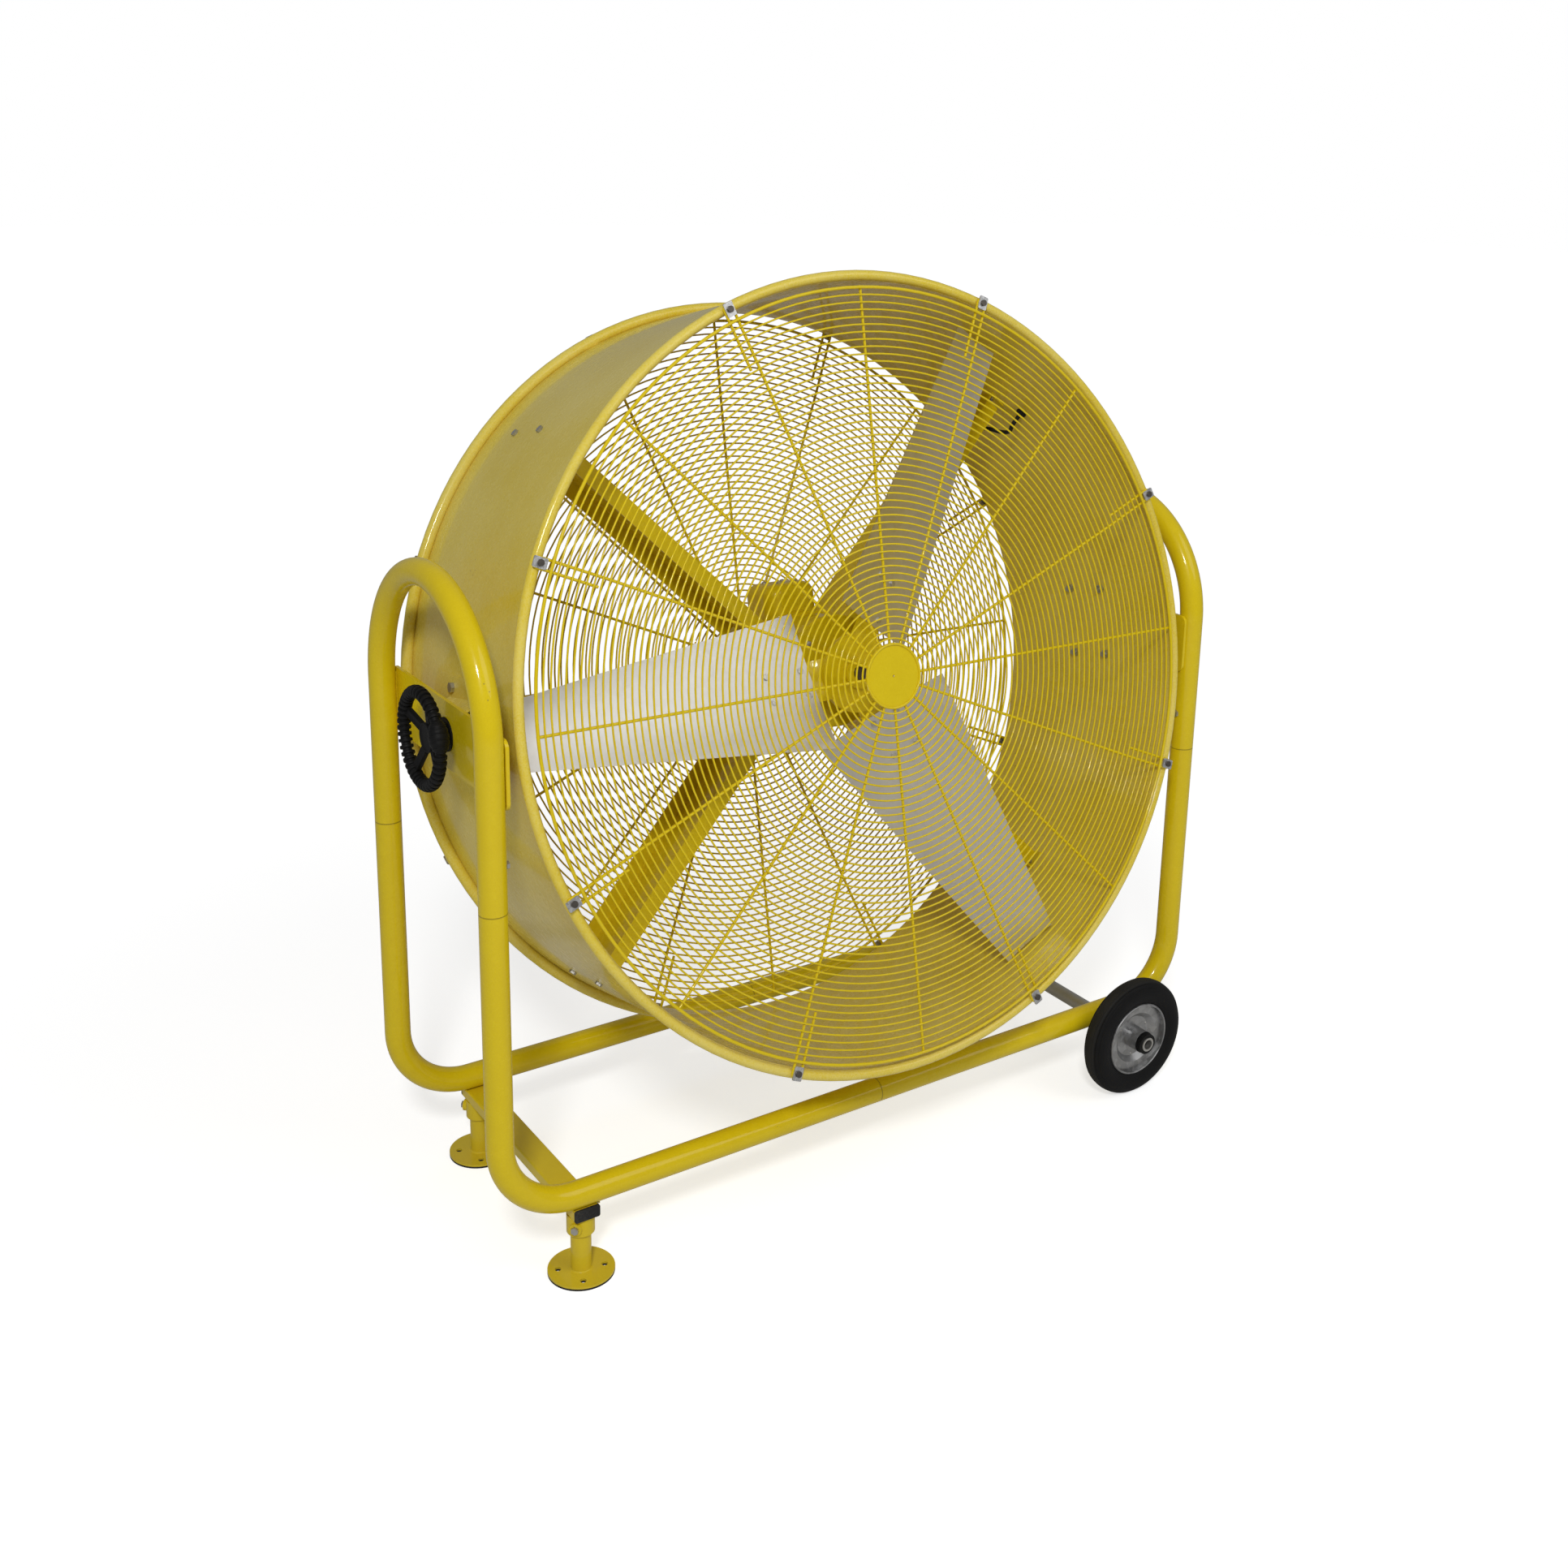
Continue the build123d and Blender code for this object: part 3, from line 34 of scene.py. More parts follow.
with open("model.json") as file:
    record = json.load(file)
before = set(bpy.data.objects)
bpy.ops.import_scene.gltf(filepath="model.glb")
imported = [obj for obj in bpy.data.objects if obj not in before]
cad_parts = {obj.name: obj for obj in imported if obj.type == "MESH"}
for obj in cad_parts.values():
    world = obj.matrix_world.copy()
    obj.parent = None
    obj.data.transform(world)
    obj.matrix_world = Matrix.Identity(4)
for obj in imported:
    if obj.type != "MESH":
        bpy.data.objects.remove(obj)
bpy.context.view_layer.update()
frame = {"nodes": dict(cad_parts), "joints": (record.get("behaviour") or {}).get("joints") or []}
nodes = frame["nodes"]
joints = {joint["name"]: joint for joint in frame["joints"]}


# ==== shader writing ==============================================================================
class Field:
    """A number that changes over a surface, written with ordinary arithmetic."""

    def __init__(self, finish, socket):
        self.finish = finish
        self.socket = socket

    def math(self, operation, *others):
        """This number and any others, put through one of the Math node's operations."""
        inputs = {0: self, **{i + 1: other for i, other in enumerate(others)}}
        return Field(self.finish, self.finish.node("Math", {"operation": operation}, inputs).outputs[0])

    def second_in(self, operation, first):
        """A Math node's operation with this number as its second value."""
        inputs = {0: first, 1: self}
        return Field(self.finish, self.finish.node("Math", {"operation": operation}, inputs).outputs[0])

    def __add__(self, other):
        return self.math("ADD", other)

    def __radd__(self, other):
        return self.math("ADD", other)

    def __sub__(self, other):
        return self.math("SUBTRACT", other)

    def __rsub__(self, other):
        return self.second_in("SUBTRACT", other)

    def __mul__(self, other):
        return self.math("MULTIPLY", other)

    def __rmul__(self, other):
        return self.math("MULTIPLY", other)

    def __truediv__(self, other):
        return self.math("DIVIDE", other)

    def away_from(self, value):
        """How far the number is from a value, on either side."""
        return (self - value).math("ABSOLUTE")

    def rising(self, low, high):
        """0 below low, 1 above high and a smooth climb between them. low may be above high."""
        settings = {"interpolation_type": "SMOOTHSTEP"}
        inputs = {"Value": self, "From Min": low, "From Max": high}
        return Field(self.finish, self.finish.node("MapRange", settings, inputs).outputs[0])


class Finish:
    """One material, built from nodes round a Principled shader."""

    def __init__(self, name, **constants):
        self.material = bpy.data.materials.new(name)
        self.material.use_nodes = True
        self.tree = self.material.node_tree
        self.shader = self.tree.nodes["Principled BSDF"]
        for socket, value in constants.items():
            self.shader.inputs[socket.replace("_", " ")].default_value = value

    def node(self, kind, settings=None, inputs=None):
        """A new node of a kind, its settings first and then the values or links of its sockets."""
        made = self.tree.nodes.new(f"ShaderNode{kind}")
        for name, value in (settings or {}).items():
            setattr(made, name, value)
        for name, value in (inputs or {}).items():
            value = value.socket if isinstance(value, Field) else value
            if isinstance(value, bpy.types.NodeSocket):
                self.tree.links.new(value, made.inputs[name])
            else:
                made.inputs[name].default_value = value
        return made

    def place(self, stretch=(1, 1, 1)):
        """Object coordinates, stretched along their axes."""
        place = self.node("TexCoord").outputs["Object"]
        return self.node("Mapping", {}, {"Vector": place, "Scale": stretch}).outputs["Vector"]

    def axis(self, which, place=None):
        """One coordinate of a place, in metres."""
        place = place or self.node("TexCoord").outputs["Object"]
        return Field(self, self.node("SeparateXYZ", {}, {"Vector": place}).outputs[which])

    def noise(self, scale, detail=2.0, roughness=0.5, place=None):
        """Cloudy noise, finer as the scale and the detail rise."""
        place = place or self.node("TexCoord").outputs["Object"]
        inputs = {"Vector": place, "Scale": scale, "Detail": detail, "Roughness": roughness}
        return Field(self, self.node("TexNoise", {}, inputs).outputs[0])

    def cells(self, scale):
        """The distance from the middle of the nearest cell of a Voronoi pattern."""
        place = self.node("TexCoord").outputs["Object"]
        made = self.node("TexVoronoi", {"feature": "F1"}, {"Vector": place, "Scale": scale})
        return Field(self, made.outputs["Distance"])

    def mix(self, amount, low, high):
        """A colour between two colours, each one a colour or a link."""
        made = self.node("Mix", {"data_type": "RGBA"})
        for socket, value in ((made.inputs[0], amount), (made.inputs[6], low), (made.inputs[7], high)):
            value = value.socket if isinstance(value, Field) else value
            if isinstance(value, bpy.types.NodeSocket):
                self.tree.links.new(value, socket)
            else:
                socket.default_value = value
        return made.outputs[2]

    def paint(self, colour=None, roughness=None, glow=None, height=None, relief=0.001):
        """Joins the finished colour, roughness, glow and height to the shader."""
        for socket, value in (("Base Color", colour), ("Roughness", roughness), ("Emission Color", glow)):
            if value is not None:
                value = value.socket if isinstance(value, Field) else value
                self.tree.links.new(value, self.shader.inputs[socket])
        if height is not None:
            bump = self.node("Bump", {}, {"Strength": 1.0, "Distance": relief, "Height": height})
            self.tree.links.new(bump.outputs["Normal"], self.shader.inputs["Normal"])
        return self.material


# ==== finishes ====================================================================================
def powder_coat(name, waviness=0.0, seams=(), painted_sheen=0.0):
    """Glossy yellow powder coat with orange peel, mottling, scuffs and a little floor dust.

    waviness is that of the sheet below it, seams are an axis and a place on it where two tubes
    meet, and the last argument pales the coat in clouds: a painted sheen that stands in for the
    reflection of white surroundings.
    """
    coat = Finish(name, Coat_Weight=0.45, Coat_Roughness=0.06, Specular_IOR_Level=0.12)
    clouds = coat.noise(5.0, 3.0)
    mottling = coat.noise(48.0, 5.0, 0.7)
    grain = coat.noise(420.0, 2.0, 0.6)
    scuffs = coat.noise(38.0, 6.0, 0.75, coat.place((1, 1, 0.25))).rising(0.71, 0.80)
    chips = coat.cells(90.0).rising(0.13, 0.08) * coat.noise(7.0, 3.0).rising(0.64, 0.72)
    dust = coat.axis("Z").rising(0.16, 0.0) * (0.3 + 0.5 * clouds)
    tone = 0.35 * clouds + 0.35 * mottling + 0.30 * grain
    colour = coat.mix(tone, (0.66, 0.465, 0.003, 1), (0.87, 0.685, 0.011, 1))
    # Painted sheen: the coat is paled in clouds towards a pale cream, in place of a reflection of white
    # surroundings.
    if painted_sheen:
        sheen_mask = painted_sheen * (0.5 * clouds + 0.5 * grain).rising(0.25, 0.75)
        colour = coat.mix(sheen_mask, colour, (0.86, 0.73, 0.24, 1))
    colour = coat.mix(scuffs * 0.35, colour, (0.72, 0.60, 0.12, 1))
    colour = coat.mix(dust * 0.3, colour, (0.42, 0.33, 0.12, 1))
    colour = coat.mix(chips * 0.6, colour, (0.20, 0.15, 0.05, 1))
    height = 0.12 * grain + 0.06 * mottling - 0.2 * chips
    for axis, at in seams:
        seam = coat.axis(axis).away_from(at).rising(0.0010, 0.0004)
        colour = coat.mix(seam * 0.55, colour, (0.22, 0.15, 0.01, 1))
        height = height - 0.8 * seam
    if waviness:
        height = height + waviness * coat.noise(6.0, 1.0)
    roughness = 0.22 + 0.10 * mottling + 0.20 * dust + 0.30 * scuffs + 0.2 * chips
    return coat.paint(colour, roughness, height=height, relief=0.0012)


def bare_aluminium(name):
    """Rolled aluminium sheet with fine lines, handling marks and dull patches."""
    sheet = Finish(name, Metallic=0.92, IOR=1.5)
    lines = sheet.noise(150.0, 4.0, 0.6, sheet.place((1, 0.04, 1)))
    patches = sheet.noise(9.0, 5.0, 0.65)
    spots = sheet.noise(110.0, 3.0, 0.6)
    marks = sheet.noise(55.0, 6.0, 0.8, sheet.place((1, 1, 0.2))).rising(0.64, 0.74)
    tone = 0.55 * patches + 0.25 * spots + 0.20 * lines
    colour = sheet.mix(tone, (0.62, 0.61, 0.59, 1), (0.93, 0.93, 0.92, 1))
    colour = sheet.mix(marks * 0.4, colour, (0.42, 0.40, 0.37, 1))
    roughness = 0.26 + 0.16 * lines + 0.14 * patches + 0.1 * marks
    return sheet.paint(colour, roughness, height=0.10 * lines + 0.3 * patches, relief=0.0008)


def galvanised(name, spangle, brightness=1.0):
    """Zinc coated sheet: flat crystals of slightly different greys."""
    zinc = Finish(name, Metallic=0.9)
    crystal = zinc.node("TexVoronoi", {}, {"Vector": zinc.place(), "Scale": spangle}).outputs["Color"]
    crystal = zinc.axis("X", crystal)
    haze = zinc.noise(30.0, 4.0, 0.6)
    scratches = zinc.noise(220.0, 5.0, 0.7, zinc.place((1, 0.1, 1))).rising(0.62, 0.72)
    dark, light = (0.22 * brightness,) * 3 + (1,), (0.50 * brightness,) * 3 + (1,)
    colour = zinc.mix(0.6 * crystal + 0.4 * haze, dark, light)
    colour = zinc.mix(scratches * 0.3, colour, (0.22, 0.21, 0.20, 1))
    roughness = 0.24 + 0.16 * crystal + 0.14 * haze
    return zinc.paint(colour, roughness, height=0.12 * haze + 0.05 * crystal, relief=0.0008)


def machined_steel(name, light, dark):
    """Turned or ground steel with fine marks and a little tarnish."""
    steel = Finish(name, Metallic=0.92)
    marks = steel.noise(500.0, 3.0, 0.6, steel.place((0.15, 1, 1)))
    tarnish = steel.noise(70.0, 5.0, 0.65)
    colour = steel.mix(0.5 * marks + 0.5 * tarnish, (*dark, 1), (*light, 1))
    roughness = 0.26 + 0.2 * marks + 0.16 * tarnish
    return steel.paint(colour, roughness, height=marks, relief=0.00008)


def black_moulding(name, shade, gloss, grain, dustiness):
    """Moulded black rubber or plastic with a fine grain and pale dust."""
    black = Finish(name, Specular_IOR_Level=0.16)
    speckle = black.noise(grain, 3.0, 0.6)
    clouds = black.noise(18.0, 4.0, 0.6)
    dust = (0.6 * clouds + 0.4 * speckle).rising(0.45, 0.8)
    colour = black.mix(clouds, (shade * 0.7, shade * 0.7, shade * 0.75, 1), (shade * 1.5,) * 3 + (1,))
    colour = black.mix(dust * dustiness, colour, (0.20, 0.19, 0.17, 1))
    roughness = (1 - gloss) + 0.12 * speckle + 0.15 * dust
    return black.paint(colour, roughness, height=speckle, relief=0.00025)


def tread_rubber(name, centre, radius):
    """Tyre rubber: fine rings from the mould on its walls, dust in its grooves and round its tread."""
    rubber = Finish(name, Specular_IOR_Level=0.14)
    across = rubber.axis("X") - centre.x
    up = rubber.axis("Z") - centre.z
    reach = (across * across + up * up).math("SQRT") / radius
    rings = (reach * 260.0).math("SINE") * 0.5 + 0.5
    clouds = rubber.noise(25.0, 5.0, 0.65)
    speckle = rubber.noise(420.0, 3.0, 0.6)
    worn = reach.rising(0.955, 0.995) * (0.4 + 0.6 * clouds)
    colour = rubber.mix(clouds, (0.004, 0.004, 0.0045, 1), (0.011, 0.011, 0.011, 1))
    colour = rubber.mix(worn * 0.4, colour, (0.060, 0.058, 0.052, 1))
    roughness = 0.50 + 0.2 * clouds + 0.15 * worn
    height = 0.25 * rings * reach.rising(0.95, 0.90) + 0.35 * speckle
    return rubber.paint(colour, roughness, height=height, relief=0.0004)


rail_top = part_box("front_left_rail")[1]
leg_seam, rail_seam = rail_top.z, rail_top.x
tube_paint = powder_coat("frame_paint", seams=(("Z", leg_seam), ("X", rail_seam)))
# The drum's coat carries a painted sheen: pale clouds in place of a reflection of white surroundings on
# its wall.
drum_paint_and_sheen = powder_coat("drum_paint_and_sheen", waviness=1.2, painted_sheen=0.8)
wire_paint = powder_coat("grille_paint")
cast_paint = powder_coat("motor_paint", waviness=0.5)
blade_metal = bare_aluminium("blade_aluminium")
wheel_zinc = galvanised("wheel_zinc", 120.0)
clip_zinc = galvanised("clip_zinc", 400.0, 1.7)
bright_steel = machined_steel("fastener_steel", (0.62, 0.61, 0.58), (0.34, 0.33, 0.31))
dark_steel = machined_steel("shaft_steel", (0.20, 0.18, 0.16), (0.07, 0.06, 0.05))
pad_rubber = black_moulding("pad_rubber", 0.020, 0.30, 300.0, 0.30)
grip_plastic = black_moulding("grip_plastic", 0.006, 0.52, 500.0, 0.05)
sheath = black_moulding("lead_sheath", 0.014, 0.55, 900.0, 0.08)

finish_of = {
    tube_paint: (
        "left_arch right_arch front_left_rail front_right_rail rear_left_rail rear_right_rail "
        "pivot_plates foot_beam foot_sockets front_foot_stem rear_foot_stem"
    ),
    drum_paint_and_sheen: "drum_shell pivot_brackets",
    wire_paint: (
        "front_grille_rings rear_grille_rings front_grille_radials rear_grille_radials "
        "front_centre_plate rear_centre_plate"
    ),
    cast_paint: (
        "motor_mount_ring motor_barrel motor_front_bell motor_rear_bell terminal_box "
        "terminal_box_lid blade_hub motor_struts"
    ),
    blade_metal: "fan_blades",
    wheel_zinc: "front_wheel_disc rear_wheel_disc",
    clip_zinc: "front_clips rear_clips blade_rivets",
    bright_steel: (
        "frame_bolts bracket_bolts pivot_studs pivot_lock_nut strut_bolts "
        "tube_sleeves motor_bearings axle_tube"
    ),
    dark_steel: "motor_shaft hub_set_screw stator_core rotor_core clip_screws",
    pad_rubber: "front_foot_pad rear_foot_pad wall_grommet beam_end_caps",
    grip_plastic: (
        "handwheel axle_collars axle_spacers front_wheel_bushes rear_wheel_bushes "
        "cable_gland friction_washers"
    ),
    sheath: "motor_lead",
}


def wear(piece, finish):
    """Gives a mesh its finish, in place of what it came with."""
    piece.data.materials.clear()
    piece.data.materials.append(finish)


for finish, names in finish_of.items():
    for name in names.split():
        wear(nodes[name], finish)


# ==== modelling helpers ===========================================================================
def deselect():
    """Leaves edit mode and selects nothing."""
    if bpy.context.object and bpy.context.object.mode == "EDIT":
        bpy.ops.object.mode_set(mode="OBJECT")
    bpy.ops.object.select_all(action="DESELECT")


def active(name):
    """The object that an operator has just added, under its own name."""
    piece = bpy.context.active_object
    piece.name = name
    piece.data.name = name
    return piece


def settle():
    """Puts the active piece's place, turn and size into its mesh."""
    bpy.ops.object.transform_apply(location=True, rotation=True, scale=True)


def pick(piece, wanted):
    """Selects the faces whose middle and normal satisfy a test, in face mode."""
    bpy.ops.object.mode_set(mode="EDIT")
    bpy.ops.mesh.select_mode(type="FACE")
    bpy.ops.mesh.select_all(action="DESELECT")
    bpy.ops.object.mode_set(mode="OBJECT")
    for face in piece.data.polygons:
        face.select = wanted(face.center, face.normal)
    bpy.ops.object.mode_set(mode="EDIT")


def soften(piece, width, segments=2, angle=35):
    """Rounds the piece's sharp edges and shades it smooth."""
    bevel = piece.modifiers.new("edge", "BEVEL")
    bevel.width = width
    bevel.segments = segments
    bevel.limit_method = "ANGLE"
    bevel.angle_limit = radians(angle)
    bpy.context.view_layer.objects.active = piece
    bpy.ops.object.modifier_apply(modifier=bevel.name)
    deselect()
    piece.select_set(True)
    bpy.context.view_layer.objects.active = piece
    bpy.ops.object.shade_smooth_by_angle(angle=radians(35))


def joined(name, pieces):
    """Several meshes as one piece."""
    deselect()
    for piece in pieces:
        piece.select_set(True)
    bpy.context.view_layer.objects.active = pieces[0]
    if len(pieces) > 1:
        bpy.ops.object.join()
    return active(name)


def file_piece(piece, body, finish, replaced=()):
    """Hands a finished piece over: its body, its finish and what it stands for."""
    wear(piece, finish)
    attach(piece, body)
    if replaced:
        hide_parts(*replaced)
    return piece


def turned(name, profile, centre, axis, out, steps):
    """A solid of revolution. profile holds pairs: distance from the axis, and place along it."""
    deselect()
    spots = [centre + out * reach + axis * along for reach, along in profile]
    bpy.ops.mesh.primitive_plane_add(size=MM, location=spots[0])
    piece = active(name)
    settle()
    bpy.ops.object.mode_set(mode="EDIT")
    bpy.ops.mesh.select_mode(type="VERT")
    bpy.ops.mesh.select_all(action="SELECT")
    bpy.ops.mesh.merge(type="CENTER")
    for here, there in zip(spots, spots[1:]):
        bpy.ops.mesh.extrude_region_move(TRANSFORM_OT_translate={"value": there - here})
    bpy.ops.mesh.select_all(action="SELECT")
    bpy.ops.mesh.spin(steps=steps, angle=tau, center=centre, axis=axis)
    bpy.ops.mesh.select_all(action="SELECT")
    bpy.ops.mesh.remove_doubles(threshold=0.00001)
    bpy.ops.mesh.delete_loose()
    bpy.ops.mesh.select_all(action="SELECT")
    bpy.ops.mesh.normals_make_consistent(inside=False)
    bpy.ops.object.mode_set(mode="OBJECT")
    return piece


def copied(piece, moves):
    """A copy of the piece, with a mesh of its own, at each of several moves."""
    copies = []
    for move in moves:
        deselect()
        made = piece.copy()
        made.data = piece.data.copy()
        bpy.context.scene.collection.objects.link(made)
        made.matrix_world = move
        made.select_set(True)
        bpy.context.view_layer.objects.active = made
        settle()
        copies.append(made)
    return copies


def swung(point, axis, angle):
    """The move that turns something about a line."""
    return Matrix.Translation(point) @ Matrix.Rotation(angle, 4, axis) @ Matrix.Translation(-point)


def closed(profile):
    """A profile that ends where it starts."""
    return [*profile, profile[0]]


def weld_bead(start, end, radius, ripple=2.6 * MM):
    """A weld with its ripples, from one point to another, as one closed mesh."""
    deselect()
    run = end - start
    turn = run.to_track_quat("Z", "Y").to_euler()
    bpy.ops.mesh.primitive_circle_add(
        vertices=8, radius=radius * 0.72, fill_type="NGON", location=start, rotation=turn
    )
    piece = active("weld_bead")
    settle()
    bpy.ops.object.mode_set(mode="EDIT")
    bpy.ops.mesh.select_mode(type="FACE")
    bpy.ops.mesh.select_all(action="SELECT")
    count = max(2, 2 * round(run.length / ripple / 2))
    swell = 1.34
    for step in range(count):
        bpy.ops.mesh.extrude_region_move(TRANSFORM_OT_translate={"value": run / count})
        size = swell if step % 2 == 0 else 1 / swell
        bpy.ops.transform.resize(value=(size,) * 3)
    bpy.ops.mesh.select_all(action="SELECT")
    bpy.ops.mesh.normals_make_consistent(inside=False)
    bpy.ops.object.mode_set(mode="OBJECT")
    bpy.ops.object.shade_smooth()
    return piece


# ==== handwheel ===================================================================================
def ribbed_handwheel():
    """A ribbed rim with a swelling for the thumb, four grooved spokes and a dished hub."""
    low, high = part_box("handwheel")
    rim_r, rim_wire_r, rim_out = 64 * MM, 9.5 * MM, 32 * MM
    rib_rise, rim_core_r, lobe_rib_rise = 2.8 * MM, 6.6 * MM, 0.7 * MM
    lobe_r, lobe_half_len, lobe_rings = 13.2 * MM, 23.8 * MM, 26
    spoke_depth, spoke_width, spoke_len, spoke_middle_r = 8 * MM, 13 * MM, 49 * MM, 35 * MM
    spoke_dish, spoke_groove = 11 * MM, 2.6 * MM
    lean, ribs = radians(18), 44
    centre = Vector((high.x, high.y - rim_r - rim_wire_r, (low.z + high.z) / 2))
    rim_centre = centre - Vector((rim_out, 0, 0))
    lobe_centre = rim_centre + Vector((0, -cos(lean), sin(lean))) * rim_r
    along_rim = Vector((0, sin(lean), cos(lean)))
    outwards = Vector((-1, 0, 0))
    parts = []

    deselect()
    bpy.ops.mesh.primitive_torus_add(
        location=rim_centre,
        rotation=(0, pi / 2, 0),
        major_radius=rim_r,
        minor_radius=rim_core_r,
        major_segments=4 * ribs,
        minor_segments=16,
    )
    rim = active("rim")
    settle()

    def on_rib(middle, normal):
        """Whether a face of the rim is raised: two of every four steps, away from the lobe."""
        angle = atan2(middle.z - centre.z, centre.y - middle.y)
        from_lobe = abs((angle - lean + pi) % tau - pi)
        return int(angle % tau / tau * 4 * ribs) % 4 < 2 and from_lobe > radians(19)

    pick(rim, on_rib)
    bpy.ops.mesh.extrude_region_shrink_fatten(TRANSFORM_OT_shrink_fatten={"value": rib_rise})
    bpy.ops.object.mode_set(mode="OBJECT")
    soften(rim, 0.7 * MM)
    parts.append(rim)

    deselect()
    bpy.ops.mesh.primitive_uv_sphere_add(
        segments=32,
        ring_count=lobe_rings,
        radius=1,
        scale=(lobe_r, lobe_r, lobe_half_len),
        location=lobe_centre,
        rotation=(-lean, 0, 0),
    )
    lobe = active("lobe")
    settle()

    def on_lobe_rib(middle, normal):
        """Whether a face of the lobe is raised: two of every three rings, away from its ends."""
        along = (middle - lobe_centre).dot(along_rim) / lobe_half_len
        ring = int((1 - acos(max(-1, min(1, along))) / pi) * lobe_rings)
        return ring % 3 < 2 and abs(along) < 0.93

    pick(lobe, on_lobe_rib)
    bpy.ops.mesh.extrude_region_shrink_fatten(TRANSFORM_OT_shrink_fatten={"value": lobe_rib_rise})
    bpy.ops.object.mode_set(mode="OBJECT")
    soften(lobe, 0.3 * MM)
    parts.append(lobe)

    deselect()
    bpy.ops.mesh.primitive_cube_add(size=1, location=rim_centre)
    spoke = active("spoke")
    spoke.scale = (spoke_depth, spoke_width, spoke_len)
    settle()
    pick(spoke, lambda middle, normal: normal.z < -0.9)
    bpy.ops.transform.translate(value=(spoke_dish, 0, 0))
    pick(spoke, lambda middle, normal: normal.x < -0.9)
    bpy.ops.mesh.inset(thickness=spoke_groove)
    bpy.ops.transform.translate(value=(spoke_groove, 0, 0))
    bpy.ops.object.mode_set(mode="OBJECT")
    soften(spoke, 0.9 * MM)
    reach = Matrix.Translation((0, 0, spoke_middle_r))
    turns = [lean + pi / 4 + k * pi / 2 for k in range(4)]
    parts += copied(spoke, [swung(rim_centre, "X", pi / 2 - turn) @ reach for turn in turns])
    bpy.data.objects.remove(spoke)

    # Millimetres from the hub's axis, and outwards along it.
    hub_profile = [
        (6.2, 0), (14, 0), (15, 1), (15, 17), (19.8, 18.2), (21, 19.4), (21, 26.6), (20, 27.8),
        (18.6, 27.8), (17.6, 26.2), (9, 25.3), (0, 25.1), (0, 23), (6.2, 23),
    ]
    profile = closed([(reach * MM, along * MM) for reach, along in hub_profile])
    hub = turned("hub", profile, centre, outwards, Vector((0, 0, 1)), 48)
    soften(hub, 0.4 * MM)
    parts.append(hub)
    wheel = joined("ribbed_handwheel", parts)
    return file_piece(wheel, "handwheel", grip_plastic, ["handwheel"])


ribbed_handwheel()


# ==== tyres =======================================================================================
# Millimetres from the axle, and from the tyre's middle: from the disc out to the middle of the tread.
tyre_half = [
    (63.1, 12.8), (64.2, 15.0), (66.8, 16.6), (69.5, 16.9), (71.2, 18.2), (76, 19.5), (83, 19.9),
    (88.6, 19.0), (91.8, 17.4), (92.2, 16.1), (93.2, 15.7), (95.8, 14.6), (97.2, 13.0), (97.0, 11.6),
    (98.0, 11.2), (99.9, 9.6), (100.6, 7.4), (100.0, 6.2), (100.8, 5.6), (101.3, 3.0), (101.5, 0.0),
]
for side in ("front", "rear"):
    low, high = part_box(f"{side}_tyre")
    centre = (low + high) / 2
    half = [(reach * MM, along * MM) for reach, along in tyre_half]
    other = [(reach, -along) for reach, along in reversed(half[:-1])]
    tyre = turned(
        f"{side}_moulded_tyre", closed(half + other), centre, Vector((0, 1, 0)), Vector((0, 0, 1)), 144
    )
    soften(tyre, 0.3 * MM, 1, 50)
    rubber = tread_rubber(f"{side}_tyre_rubber", centre, (high.z - low.z) / 2)
    file_piece(tyre, f"{side}_wheel", rubber, [f"{side}_tyre"])


# ==== welds =======================================================================================
def frame_welds():
    """The weld beads that show: pivot plates to legs, and foot beam to rails."""
    beads = []
    plate_bead_r, beam_bead_r, plate_bead_y, plate_margin = 1.8 * MM, 2.0 * MM, 4.6 * MM, 6 * MM
    face_gap, beam_gap_x, beam_gap_z, beam_bead_half = 0.4 * MM, 0.6 * MM, 0.4 * MM, 9 * MM
    plates_low, plates_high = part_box("pivot_plates")
    arch_low, arch_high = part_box("left_arch")
    tube_r = (arch_high.x - arch_low.x) / 2
    for side, face in ((-1, arch_high.x), (1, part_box("right_arch")[0].x)):
        for y, inward in ((arch_low.y + tube_r, 1), (arch_high.y - tube_r, -1)):
            x, bead_y = face + side * face_gap, y + inward * plate_bead_y
            foot = Vector((x, bead_y, plates_low.z + plate_margin))
            top = Vector((x, bead_y, plates_high.z - plate_margin))
            beads.append(weld_bead(foot, top, plate_bead_r))
    beam_low, beam_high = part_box("foot_beam")
    for rail in ("front_left_rail", "rear_left_rail"):
        rail_low, rail_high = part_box(rail)
        y = (rail_low.y + rail_high.y) / 2
        for x in (beam_low.x - beam_gap_x, beam_high.x + beam_gap_x):
            start = Vector((x, y - beam_bead_half, beam_high.z + beam_gap_z))
            beads.append(weld_bead(start, start + Vector((0, 2 * beam_bead_half, 0)), beam_bead_r))
    return file_piece(joined("frame_welds", beads), "frame", tube_paint)


frame_welds()


# ==== fastenings and fittings in the drum =========================================================
spin = joints["rotor_spin"]
pivot = Vector(spin["pos_m"])
ahead = Vector(spin["axis"]).normalized()
across = Vector((1, 0, 0))
raised = ahead.cross(across)


def in_drum(right, up, forward):
    """A place in the drum in millimetres from the pivot."""
    return pivot + (across * right + raised * up + ahead * forward) * MM


def headed(name, places, axis, profile, steps, body="drum"):
    """Equal heads of bolts or screws at several places, all facing one way."""
    spots = [(reach * MM, along * MM) for reach, along in profile]
    out = axis.orthogonal().normalized()
    first = turned(name, spots, places[0], axis, out, steps)
    soften(first, 0.25 * MM, 1)
    moves = [Matrix.Translation(place - places[0]) for place in places[1:]]
    return file_piece(joined(name, [first, *copied(first, moves)]), body, bright_steel)


